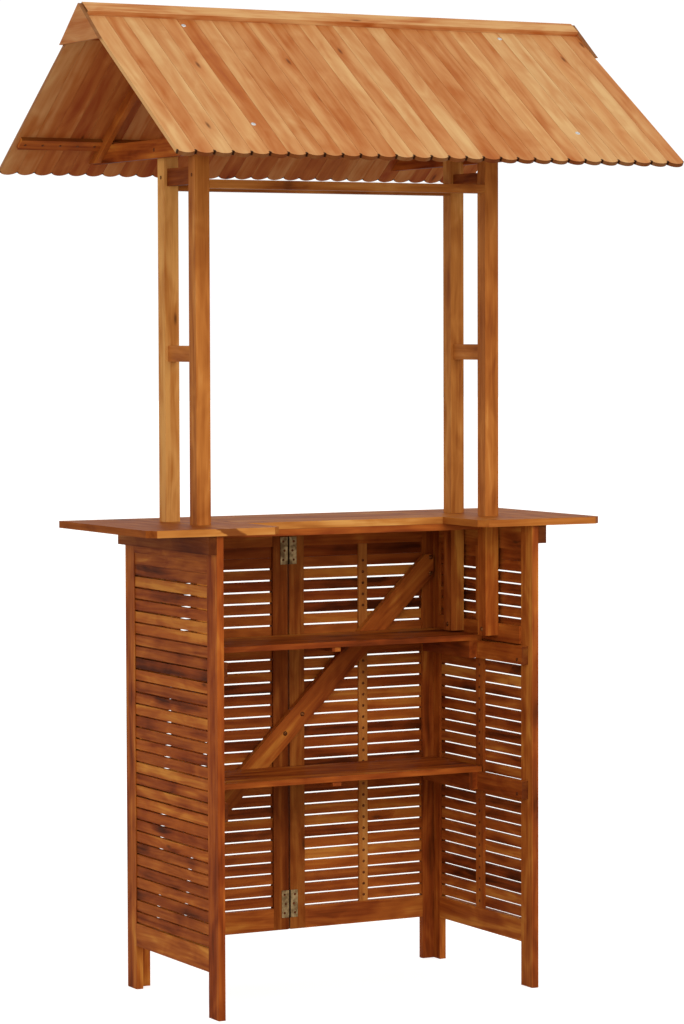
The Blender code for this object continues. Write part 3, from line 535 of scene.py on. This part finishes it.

# %% [markdown]
# ## Stiles, rails, posts and cleats
# All these are single boards. The grain of a board runs along its longest side, and the width faces show
# more figure than the edges, so the solid's own box tells how to lay the pattern. The posts are lighter
# above the counter; below it they take the body's redder colours, and on the faces that look inwards
# darker ones, which is painted shade under the counter. The right near stile's inner face is made lighter
# than its edge, which is painted light.

# %% How single boards differ
# How much lighter or darker a board is than its group, as a change of tone
LIFTED = {"left_leaf_bottom_rail": 0.08, "right_leaf_bottom_rail": 0.08, "left_far_post": 0.32,
          "right_far_post": 0.10, "right_near_post": -0.04, "left_near_post": -0.04,
          "right_panel_far_stile": 0.06, "left_leaf_centre_stile": 0.08, "right_leaf_centre_stile": 0.20,
          "left_tie_beam": 0.06, "left_panel_bottom_rail": 0.18, "right_panel_bottom_rail": 0.18,
          "right_panel_near_stile": -0.06, "left_panel_far_stile": -0.02}
BELOW_COUNTER = ("z", 0.7000, 1.0350)
POST_INNER_FACE = ("x", 0.3430, 0.3440, True)
STILE_INNER_FACE = ("x", 0.3819, 0.3829)
# Changes of tone that paint shade on the posts below the counter and light on the right near stile's inner
# face
POST_BELOW_COUNTER_SHADE, POST_INWARD_SHADE, STILE_INNER_LIGHT = 0.20, -0.02, 0.21


def tones_of(board):
    """The group of colours that a single board belongs to."""
    if "_post" in board or "roof_rail" in board:
        return POST_TONES
    if "counter_cleat" in board or "centre_stile" in board or "side_board" in board:
        return DARK_TONES
    return BODY_TONES


print("boards with a tone of their own:", len(LIFTED))


# %% Single boards
# Endings of the names of pieces that have cells of their own
ELSEWHERE = ("_slats", "_shelf", "_deck", "_rafter", "_ridge_board", "_gable_plate")
single = [n for n in sorted(nodes) if not n.endswith(ELSEWHERE) and "hinge" not in n]
single = [n for n in single if not n.startswith("counter_") and n != "diagonal_brace"]
for seed, n in enumerate(single, start=100):
    low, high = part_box(n)
    size = list(high - low)
    longest, wide = sorted("xyz", key=lambda a: -size[AXES[a]])[:2]
    values = dict(along=longest, over=wide, seed=seed, tones=tones_of(n), spread=0.1,
                  picks=((0, LIFTED.get(n, 0.0)),), calm=1.35, **ONE_BOARD)
    sets = [(None, values)]
    if n.endswith("_post"):
        # Painted shade: below the counter the posts take the body's redder tones, and darker ones on their
        # inward faces
        shaded_below = dict(values, tones=BODY_TONES, picks=((0, POST_BELOW_COUNTER_SHADE),))
        shaded_inward = dict(values, tones=BODY_TONES, picks=((0, POST_INWARD_SHADE),))
        sets += [((BELOW_COUNTER,), shaded_below), ((BELOW_COUNTER, POST_INNER_FACE), shaded_inward)]
    if n == "right_panel_near_stile":
        # Painted light: the inner face of this stile is made lighter than its edge
        sets.append(((STILE_INNER_FACE,), dict(values, picks=((0, STILE_INNER_LIGHT),))))
    wear(n, acacia(n + "_oiled_acacia", sets, end_axis=longest))
    soften(n, THICK_ARRIS if "post" in n else BOARD_ARRIS)
print("single boards:", len(single))

# %% [markdown]
# ## Brace
# The brace is a sawn board laid aslant, so its grain runs along the slope. Turning the coordinates by the
# slope's angle lays the pattern along it.

# %% Brace
BRACE_RISE, BRACE_RUN = 0.7321, 0.7470
values = dict(along="x", over="z", seed=151, tones=BODY_TONES, spread=0.1, picks=((0, 0.03),), calm=1.3,
              **ONE_BOARD)
turn = ("Y_AXIS", math.atan2(BRACE_RISE, BRACE_RUN))
wear("diagonal_brace", acacia("diagonal_brace_oiled_acacia", [(None, values)], turn=turn))
soften("diagonal_brace", BOARD_ARRIS)
print("slope of the brace in degrees:", round(math.degrees(turn[1]), 1))

# %% [markdown]
# ## Shelves
# A shelf is four boards on cross battens. The boards were not chosen for colour, so they differ a lot,
# and the front one of the lower shelf is darker than that of the upper one.

# %% Shelves
SHELF_BOARD, SHELF_FRONT = 0.0537, 0.008
SHELF_BATTEN_ROW = {"width": 0.1, "start": -0.5}
# The battens' wood reaches this far below the boards, which is more than a batten's thickness
BATTENS_REACH = 0.1
for n, seed, boards_low, front in (("upper_shelf", 201, 0.7658, 0.02), ("lower_shelf", 211, 0.4643, -0.14)):
    boards = dict(along="x", over="y", width=SHELF_BOARD, start=SHELF_FRONT, seed=seed, tones=BODY_TONES,
                  spread=0.42, picks=((0, front),), calm=1.35)
    battens = dict(along="y", over="x", seed=seed + 3, tones=BODY_TONES, spread=0.3, **SHELF_BATTEN_ROW)
    under = ("z", boards_low - BATTENS_REACH, boards_low)
    wear(n, acacia(n + "_oiled_acacia", [(None, boards), ((under,), battens)]))
    soften(n, THIN_ARRIS)
print("shelf boards in mm:", SHELF_BOARD * 1000)

# %% [markdown]
# ## Counter
# The counter is wider boards glued edge to edge, in a front section and two wings. Its near edges show
# light sapwood, with one dark run of heartwood at the left. At this flat angle a polished top would
# mirror the white ground. This one is only oiled, so its sheen is half that of the other boards.

# %% Counter
COUNTER_BOARD, COUNTER_FRONT = 0.0997, -0.0430
# A wing's number changes at the groove between its two boards
WING_BOARD, WING_JOINT = 0.5, 0.3775
FRONT_SECTION_EDGE = ("y", -0.0500, -0.0425)
# The run's middle in x, half its width, and how far it leans for each metre of height
HEART_RUN = (-0.3680, 0.0230, 1.6)
TOP_SHEEN = 0.02
top = dict(along="x", over="y", width=COUNTER_BOARD, start=COUNTER_FRONT, seed=221, tones=TOP_TONES,
           spread=0.3)
sapwood = dict(along="x", over="z", seed=223, tones=POST_TONES, spread=0.0, picks=((0, 0.12),), calm=1.3,
               **ONE_BOARD)
sets = [(None, top), ((FRONT_SECTION_EDGE,), sapwood)]
wear("counter_front_board", acacia("counter_front_oiled_acacia", sets, sheen=TOP_SHEEN))
apron = dict(along="x", over="y", seed=222, tones=BODY_TONES, spread=0.1, **ONE_BOARD)
wear("counter_apron", acacia("counter_apron_oiled_acacia", [(None, apron)]))
for hand, seed, joint, lift, heart in (("left", 231, -WING_JOINT, 0.12, HEART_RUN),
                                       ("right", 241, WING_JOINT, -0.04, None)):
    top = dict(along="y", over="x", width=WING_BOARD, start=joint - WING_BOARD, seed=seed, tones=TOP_TONES,
               spread=0.3)
    edge = dict(along="x", over="z", seed=seed + 4, tones=POST_TONES, spread=0.0, picks=((0, lift),),
                **ONE_BOARD)
    sets = [(None, top), ((WING_EDGE,), edge)]
    material = acacia("counter_" + hand + "_oiled_acacia", sets, heart=heart, sheen=TOP_SHEEN)
    wear("counter_" + hand + "_wing", material)
for n in ("counter_front_board", "counter_apron", "counter_left_wing", "counter_right_wing"):
    soften(n, THICK_ARRIS)
print("counter boards in mm:", round(COUNTER_BOARD * 1000, 1))

# %% [markdown]
# ## Roof
# The planks lie side by side down the slope. Turning the coordinates about x by the roof's angle lays a
# slope flat, so the planks run along y, and the depth under their top tells a plank from a batten. The
# ends of the planks, cut in shallow arcs, are end grain and much darker. Daylight has evened out the
# streaks up here, so the figure is made of broad, soft patches, and a few planks stand out as light or
# dark.

# %% The roof's sizes
ROOF_ANGLE = math.radians(34.6)
PLANK_PITCH, PLANK_COUNT, NOTCH_Y, NOTCH_RADIUS = 0.0421, 29, 0.465, 0.0040
PLANK_THICKNESS, ROOF_BATTEN_THICKNESS = 0.0090, 0.0095
FIRST_PLANK = -PLANK_COUNT * PLANK_PITCH / 2
# The battens' wood begins a hair below the planks' underside
ROOF_BATTEN_ROW, UNDERSIDE_MARGIN = {"width": 0.3, "start": 0.0}, 0.0003
# The ridge boards lie on the planks, so their thickness comes off the height
TOTAL_HEIGHT, RIDGE_THICKNESS = 2.170, 0.0115
APEX_Z = TOTAL_HEIGHT - RIDGE_THICKNESS / math.cos(ROOF_ANGLE)
# Outer plank edges: pale sapwood on the near slope, and on the far slope a dark brown that is painted shade
SIDE_TONES = {"near": "DCAA6C", "far": "8A5228"}
ROOF_PICKS = {"near": ((4, 0.13), (5, -0.11), (6, -0.08), (12, 0.16), (16, 0.08), (17, -0.10), (18, 0.05)),
              "far": ((4, -0.16), (20, 0.12))}


def laid_flat(side, place):
    """Where a place on a slope comes to lie when the slope is turned flat."""
    return Matrix.Rotation(side * ROOF_ANGLE, 3, "X") @ Vector(place)


print("top of the planks at the ridge in metres:", round(APEX_Z, 4))

# %% [markdown]
# ## Decks, ridge boards and rafters
# Each slope is dressed by the same loop, because the far one mirrors the near one. The ridge boards run
# across the planks and cover their upper ends, and the rafters run down the slope below them.

# %% Roof decks, ridge boards and rafters
for word, side, seed in (("near", -1, 301), ("far", 1, 331)):
    turn = ("X_AXIS", side * ROOF_ANGLE)
    under = laid_flat(side, (0.0, 0.0, APEX_Z)).z - PLANK_THICKNESS - UNDERSIDE_MARGIN
    # The planks get more painted light on their tops and painted shade on their undersides than other boards
    planks = dict(along="y", over="x", width=PLANK_PITCH, start=FIRST_PLANK, seed=seed, tones=ROOF_TONES,
                  spread=0.30, picks=ROOF_PICKS[word], painted_light_and_shade=0.15, fine=0.4)
    battens = dict(along="x", over="y", seed=seed + 9, tones=BODY_TONES, spread=0.1, **ROOF_BATTEN_ROW)
    sets = [(None, planks), ((("z", under - BATTENS_REACH, under),), battens)]
    notch_line = laid_flat(side, (0.0, side * NOTCH_Y, APEX_Z - NOTCH_Y * math.tan(ROOF_ANGLE))).y
    notch = (notch_line, FIRST_PLANK, PLANK_PITCH, NOTCH_RADIUS)
    material = acacia(word + "_deck_oiled_acacia", sets, turn, "y", SIDE_TONES[word], notch)
    wear(word + "_roof_deck", material)
    soften(word + "_roof_deck", SLAT_ARRIS)
    ridge = dict(along="x", over="y", seed=seed + 11, tones=ROOF_TONES, spread=0.1, picks=((0, 0.18),),
                 calm=1.5, **ONE_BOARD)
    wear(word + "_ridge_board", acacia(word + "_ridge_oiled_acacia", [(None, ridge)], turn, "x"))
    soften(word + "_ridge_board", THIN_ARRIS)
    for hand in ("left", "right"):
        n = hand + "_" + word + "_rafter"
        rafter = dict(along="y", over="z", seed=seed + 13 + len(hand), tones=BODY_TONES, spread=0.1,
                      **ONE_BOARD)
        wear(n, acacia(n + "_oiled_acacia", [(None, rafter)], turn))
        soften(n, THIN_ARRIS)
print("roof planks:", 2 * PLANK_COUNT)

# %% [markdown]
# The gable plates are small triangles that close the ends of the ridge. Daylight reaches them, so they
# share the roof's colours.

# %% Gable plates
for hand, seed in (("left", 351), ("right", 352)):
    plate = dict(along="y", over="z", seed=seed, tones=ROOF_TONES, spread=0.1, **ONE_BOARD)
    wear(hand + "_gable_plate", acacia(hand + "_gable_oiled_acacia", [(None, plate)], end_axis="y"))
    soften(hand + "_gable_plate", THIN_ARRIS)
print("pieces with a broken edge:", sum(len(item.modifiers) > 0 for item in nodes.values()))

# %% [markdown]
# ## Metal finishes
# The hinges are pressed brass that has dulled outdoors: a warm grey-gold with brown blotches of oil. The
# roof's screws are bright zinc plate, the bolts have the golden passivated kind, and the nails are
# browned steel, nearly as dark as the wood. A metal's colour is the colour of its reflection, so a
# second, duller colour in blotches ages it better than dirt laid on top would. Metals keep the default
# index.

# %% Metals
# Painted shade in the gap between the hinge leaves, given as its middle and half its width in x
HINGE_GAP, GAP_PAINTED_SHADE = (0.0010, 0.0024), "2E2014"
STAIN_BORDER, STAIN_ROUGHER = (0.38, 0.62), 0.25


def aged_metal(name, bright, stained, stains_per_metre, roughness, gap=None):
    """A metal with duller blotches. A gap (middle, half) is where painted shade lies across x."""
    material = bpy.data.materials.new(name)
    material.use_nodes = True
    tree = material.node_tree
    shader = tree.nodes["Principled BSDF"]
    point = put(tree, "ShaderNodeTexCoord").outputs["Object"]
    sockets = {"Vector": point, "Scale": stains_per_metre, "Detail": 4.0, "Roughness": 0.6}
    stain = put(tree, "ShaderNodeTexNoise", sockets).outputs[0]
    stain = {0: stain, 1: STAIN_BORDER[0], 2: STAIN_BORDER[1], 3: 0.0, 4: 1.0}
    stain = put(tree, "ShaderNodeMapRange", stain).outputs[0]
    blend = {0: stain, 6: srgb(bright), 7: srgb(stained)}
    colour = put(tree, "ShaderNodeMix", blend, data_type="RGBA").outputs[2]
    if gap:
        # Painted shade along the gap between the leaves
        parts = put(tree, "ShaderNodeSeparateXYZ", {0: point}).outputs
        gap_shade = {0: parts[0], 1: gap[0], 2: gap[1]}
        gap_shade = put(tree, "ShaderNodeMath", gap_shade, operation="COMPARE").outputs[0]
        blend = {0: gap_shade, 6: colour, 7: srgb(GAP_PAINTED_SHADE)}
        colour = put(tree, "ShaderNodeMix", blend, data_type="RGBA").outputs[2]
    tree.links.new(colour, shader.inputs["Base Color"])
    gloss = {0: stain, 1: 0.0, 2: 1.0, 3: roughness, 4: roughness + STAIN_ROUGHER}
    tree.links.new(put(tree, "ShaderNodeMapRange", gloss).outputs[0], shader.inputs["Roughness"])
    relief = put(tree, "ShaderNodeBump", {"Height": stain, "Strength": 0.15, "Distance": 0.0002}).outputs[0]
    tree.links.new(relief, shader.inputs["Normal"])
    shader.inputs["Metallic"].default_value = 1.0
    return material


# %% The four metals
# The blotches are 14 mm on the brass and 2.5 to 4 mm on the small heads
BRASS = aged_metal("pressed_brass_dulled_outdoors", "C2A678", "8E7450", 70.0, 0.45, gap=HINGE_GAP)
ZINC = aged_metal("zinc_plated_steel_screws", "F2F2F2", "C6C4BE", 400.0, 0.35)
BROWNED = aged_metal("browned_steel_nails_and_screws", "8E5230", "5A3018", 300.0, 0.50)
YELLOW = aged_metal("yellow_passivated_zinc_bolts", "A4683A", "64381C", 250.0, 0.45)
hinge_leaves = [n for n in sorted(nodes) if "hinge" in n]
for n in hinge_leaves:
    wear(n, BRASS)
print("hinge leaves in brass:", len(hinge_leaves))

# %% [markdown]
# ## Fasteners
# A screw's head is pressed from the end of a wire between round dies, and its recess is punched in. A
# ready-made cylinder would have no crown and no recess, so the head here is made ring by ring from a
# profile of radius and height, with a cross-shaped ring for the recess. Nails have a plain crown and
# bolts stand on a washer. All heads of one kind are one piece, because they share one finish.

# %% Rings
RING_POINTS = 12


def ring(bm, stand, points, height):
    """A closed row of points round a head's axis."""
    return [bm.verts.new(stand @ Vector((x, y, height))) for x, y in points]


def circle(radius):
    """The points of a round ring."""
    angles = [math.tau * (i + 0.5) / RING_POINTS for i in range(RING_POINTS)]
    return [(radius * math.cos(angle), radius * math.sin(angle)) for angle in angles]


def cross(arm, half):
    """A plus sign with twelve corners, in the order of a circle's points."""
    quarter = [(arm, half), (half, half), (half, arm)]
    points = []
    for k in range(4):
        c, s = round(math.cos(math.tau * k / 4)), round(math.sin(math.tau * k / 4))
        points += [(c * x - s * y, s * x + c * y) for x, y in quarter]
    return points


print("points in a ring and corners in a cross:", len(circle(1.0)), len(cross(1.0, 0.3)))


# %% Heads
RECESS_TAPER = 0.8


def head(bm, place, normal, profile, recess=None):
    """Rings from the rim inwards. A recess is (arm, half width, depth)."""
    turn = Vector(normal).to_track_quat("Z", "X").to_matrix().to_4x4()
    stand = Matrix.Translation(Vector(place)) @ turn
    rings = [ring(bm, stand, circle(radius), height) for radius, height in profile]
    if recess:
        arm, half, depth = recess
        top = profile[-1][1]
        rings.append(ring(bm, stand, cross(arm, half), top))
        rings.append(ring(bm, stand, cross(arm * RECESS_TAPER, half * RECESS_TAPER), top - depth))
    for outer, inner in zip(rings, rings[1:]):
        for i in range(RING_POINTS):
            j = (i + 1) % RING_POINTS
            bm.faces.new((outer[i], outer[j], inner[j], inner[i]))
    bm.faces.new(rings[-1])


def heads(name, spots, profile, material, recess=None):
    """All heads of one kind as one piece that rides on the body."""
    bm = bmesh.new()
    for place, normal in spots:
        head(bm, place, normal, profile, recess)
    mesh = bpy.data.meshes.new(name)
    bm.to_mesh(mesh)
    bm.free()
    for face in mesh.polygons:
        face.use_smooth = len(face.vertices) == 4
    mesh.materials.append(material)
    item = bpy.data.objects.new(name, mesh)
    scene.collection.objects.link(item)
    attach(item, "root")
    print(name, "heads:", len(spots), "faces:", len(mesh.polygons))


# %% Profiles from the rim to the middle, as radius and height
SCREW = [(0.0043, -0.0003), (0.0042, 0.0003), (0.0034, 0.0007), (0.0026, 0.0008)]
ROOF_SCREW_SIZE = 1.3
ROOF_SCREW = [(radius * ROOF_SCREW_SIZE, height * ROOF_SCREW_SIZE) for radius, height in SCREW]
NAIL = [(0.0034, -0.0003), (0.0033, 0.0003), (0.0018, 0.0006)]
BOLT = [(0.0054, -0.00018), (0.005328, 0.00054), (0.003744, 0.0006), (0.003672, 0.00156),
        (0.003096, 0.00228), (0.002016, 0.00252)]
SUNK_SCREW = [(0.0029, -0.0004), (0.0028, 0.0000), (0.0024, 0.0001)]
# Each recess as the length and half the width of an arm, and its depth
SCREW_RECESS = (0.0022, 0.0006, 0.0010)
BOLT_RECESS = (0.0016, 0.0005, 0.0009)
SUNK_RECESS = (0.0019, 0.0005, 0.0006)
TOWARDS_SERVER = Vector((0.0, -1.0, 0.0))


def sideways(side):
    """The direction out of the table to one side."""
    return Vector((side, 0.0, 0.0))


print("widest head in mm:", round(2000 * ROOF_SCREW[0][0], 1))

# %% [markdown]
# ## Where the fasteners go
# Four bright screws hold each roof slope to the rafters, near the ridge and near the eaves. Each roof
# plank has a nail into each batten, driven from below, except over the rafters. Each slat but the topmost
# has one into its batten, except behind the brace, the cleats and the post rail. The brace is bolted
# through at its crossings and each post at its foot, and the cleats, side boards, tie beams and hinges
# have screws.

# %% Roof fasteners
RAFTER_X, RAFTER_HALF = 0.3920, 0.0200
SCREW_X, SCREW_ROWS, NAIL_ROWS = 0.3935, (0.0560, 0.4570), (0.0650, 0.4517)
UNDER_BATTEN = PLANK_THICKNESS + ROOF_BATTEN_THICKNESS


def on_slope(side, x, down, below):
    """A point so far down from the ridge and below the planks' top, and the slope's normal."""
    normal = Vector((0.0, side * math.sin(ROOF_ANGLE), math.cos(ROOF_ANGLE)))
    downhill = Vector((0.0, side * math.cos(ROOF_ANGLE), -math.sin(ROOF_ANGLE)))
    return Vector((x, 0.0, APEX_Z)) + downhill * down - normal * below, normal


bright = [on_slope(side, x, row, 0.0) for side in (-1, 1) for x in (-SCREW_X, SCREW_X) for row in SCREW_ROWS]
heads("roof_screws", bright, ROOF_SCREW, ZINC, SCREW_RECESS)
nails = []
for side in (-1, 1):
    for k in range(PLANK_COUNT):
        x = FIRST_PLANK + (k + 0.5) * PLANK_PITCH
        if abs(abs(x) - RAFTER_X) < RAFTER_HALF:
            continue
        for row in NAIL_ROWS:
            place, normal = on_slope(side, x, row, UNDER_BATTEN)
            nails.append((place, -normal))
print("nails in the roof:", len(nails))

# %% Nails in the slats' battens
LEAF_BATTENS, LEAF_BATTEN_FACE = (-0.19365, 0.19465), 0.2395
SIDE_BATTEN_FACE, SIDE_BATTEN_Y = 0.3824, 0.02785
# The brace covers the leaf battens so far above and below its middle line
BRACE_MIDDLE_Z, BRACE_HALF = 0.5715, 0.05
# Cleats and the post rail cover the side battens at these heights
COVERED_HEIGHTS = ((0.42, 0.47), (0.72, 0.815))
for number in reversed(range(SLAT_COUNT - 1)):
    z = SLAT_START + SLAT_PITCH * (number + 0.5)
    for x in LEAF_BATTENS:
        if abs(z - BRACE_MIDDLE_Z - BRACE_RISE / BRACE_RUN * x) > BRACE_HALF:
            nails.append((Vector((x, LEAF_BATTEN_FACE, z)), TOWARDS_SERVER))
    for side in (-1, 1):
        if not any(low < z < high for low, high in COVERED_HEIGHTS):
            nails.append((Vector((side * SIDE_BATTEN_FACE, SIDE_BATTEN_Y, z)), sideways(-side)))
heads("batten_nails", nails, NAIL, BROWNED)

# %% Bolts and dark screws
BRACE_FACE = 0.2232
BRACE_BOLTS = ((0.36642, 0.9433), (0.36642, 0.9059), (0.027383, 0.5947), (-0.017139, 0.5524),
               (-0.3546, 0.2440), (-0.3546, 0.2080))
POST_MIDDLES, POST_FACE, POST_BOLT_Z = (-0.0485, 0.1063), 0.3435, 0.7965
TIE_BEAM_FACE, TIE_BEAM_Z = 0.3938, 1.8660
POST_OUTER_FACE, SIDE_BOARD_Z = 0.3775, 1.8060
CLEAT_FACE, CLEAT_SCREWS_Y, CLEAT_SCREWS_Z = 0.3656, (-0.1660, 0.1020), (0.4340, 0.7355)
bolts = [(Vector((x, BRACE_FACE, z)), TOWARDS_SERVER) for x, z in BRACE_BOLTS]
dark = []
for side in (-1, 1):
    for y in POST_MIDDLES:
        bolts.append((Vector((side * POST_FACE, y, POST_BOLT_Z)), sideways(-side)))
        dark.append((Vector((side * TIE_BEAM_FACE, y, TIE_BEAM_Z)), sideways(side)))
        dark.append((Vector((side * POST_OUTER_FACE, y, SIDE_BOARD_Z)), sideways(side)))
    for z in CLEAT_SCREWS_Z:
        for y in CLEAT_SCREWS_Y:
            dark.append((Vector((side * CLEAT_FACE, y, z)), sideways(-side)))
heads("brace_and_post_bolts", bolts, BOLT, YELLOW, BOLT_RECESS)
heads("cleat_and_tie_screws", dark, SCREW, BROWNED, SCREW_RECESS)

# %% Hinge screws
HINGE_FACE, HINGE_WIDTH, HINGE_SPACING = 0.23795, 0.0185, 0.0210
HINGE_FEET, HINGE_EDGES = (0.9380, 0.1260), ((-1, -0.0010), (1, 0.0030))
# Each leaf's three holes, in spacings up from its foot and in widths out from its inner edge
HINGE_HOLES = ((0.5, 0.62), (1.5, 0.45), (2.5, 0.62))
sunk = []
for foot in HINGE_FEET:
    for side, edge_x in HINGE_EDGES:
        for up, out in HINGE_HOLES:
            x, z = edge_x + side * HINGE_WIDTH * out, foot + HINGE_SPACING * up
            sunk.append((Vector((x, HINGE_FACE, z)), TOWARDS_SERVER))
heads("hinge_screws", sunk, SUNK_SCREW, BROWNED, SUNK_RECESS)

# %% [markdown]
# ## Studio
# The table stands on pale seamless paper in front of a white ground, with soft light from all around. One
# large softbox would leave either the sides that face left or those that face the front too dark, so
# there are two. The ground is pure white in the photograph, so camera rays see white, while the light on
# the wood is a little weaker, as it is when a ground is lit apart from the object. The paper glows for
# the camera for the same reason, which hides its far edge.

# %% Floor
FLOOR_HALF_SIZE = 60.0
PALE_PAPER, PAPER_ROUGHNESS, PAPER_GLOW = "C6C4C0", 0.9, 0.75
floor_mesh = bpy.data.meshes.new("studio_floor")
bm = bmesh.new()
bmesh.ops.create_grid(bm, x_segments=1, y_segments=1, size=FLOOR_HALF_SIZE)
bm.to_mesh(floor_mesh)
bm.free()
floor = bpy.data.objects.new("studio_floor", floor_mesh)
scene.collection.objects.link(floor)
pale = bpy.data.materials.new("studio_floor_pale_paper")
pale.use_nodes = True
tree = pale.node_tree
shader = tree.nodes["Principled BSDF"]
shader.inputs["Base Color"].default_value = srgb(PALE_PAPER)
shader.inputs["Roughness"].default_value = PAPER_ROUGHNESS
shader.inputs["Emission Color"].default_value = srgb("FFFFFF")
seen = put(tree, "ShaderNodeLightPath").outputs["Is Camera Ray"]
glow = put(tree, "ShaderNodeMath", {0: seen, 1: PAPER_GLOW}, operation="MULTIPLY").outputs[0]
tree.links.new(glow, shader.inputs["Emission Strength"])
floor_mesh.materials.append(pale)
print("floor in metres:", 2 * FLOOR_HALF_SIZE)

# %% World
WHITE_LIGHT, WHITE_GROUND = 0.80, 1.05
world = bpy.data.worlds.new("studio_world")
world.use_nodes = True
tree = world.node_tree
seen = put(tree, "ShaderNodeLightPath").outputs["Is Camera Ray"]
strength = {0: seen, 1: 0.0, 2: 1.0, 3: WHITE_LIGHT, 4: WHITE_GROUND}
strength = put(tree, "ShaderNodeMapRange", strength).outputs[0]
tree.nodes["Background"].inputs[0].default_value = srgb("FFFFFF")
tree.links.new(strength, tree.nodes["Background"].inputs[1])
scene.world = world
scene.view_settings.view_transform = "Standard"
print("world light:", WHITE_LIGHT)

# %% Softboxes
SOFTBOX_WIDTH, SOFTBOX_HEIGHT = 3.5, 2.5
TABLE_MIDDLE = Vector((0.0, 0.0, 1.1))


def softbox(name, place, power):
    """A large soft light that is aimed at the middle of the table."""
    light = bpy.data.lights.new(name, "AREA")
    light.shape = "RECTANGLE"
    light.size, light.size_y = SOFTBOX_WIDTH, SOFTBOX_HEIGHT
    light.energy = power
    item = bpy.data.objects.new(name, light)
    item.location = place
    item.rotation_euler = (TABLE_MIDDLE - Vector(place)).to_track_quat("-Z", "Y").to_euler()
    scene.collection.objects.link(item)


softbox("left_softbox", (-4.2, -5.0, 2.2), 80.0)
softbox("front_softbox", (0.5, -6.0, 4.2), 130.0)
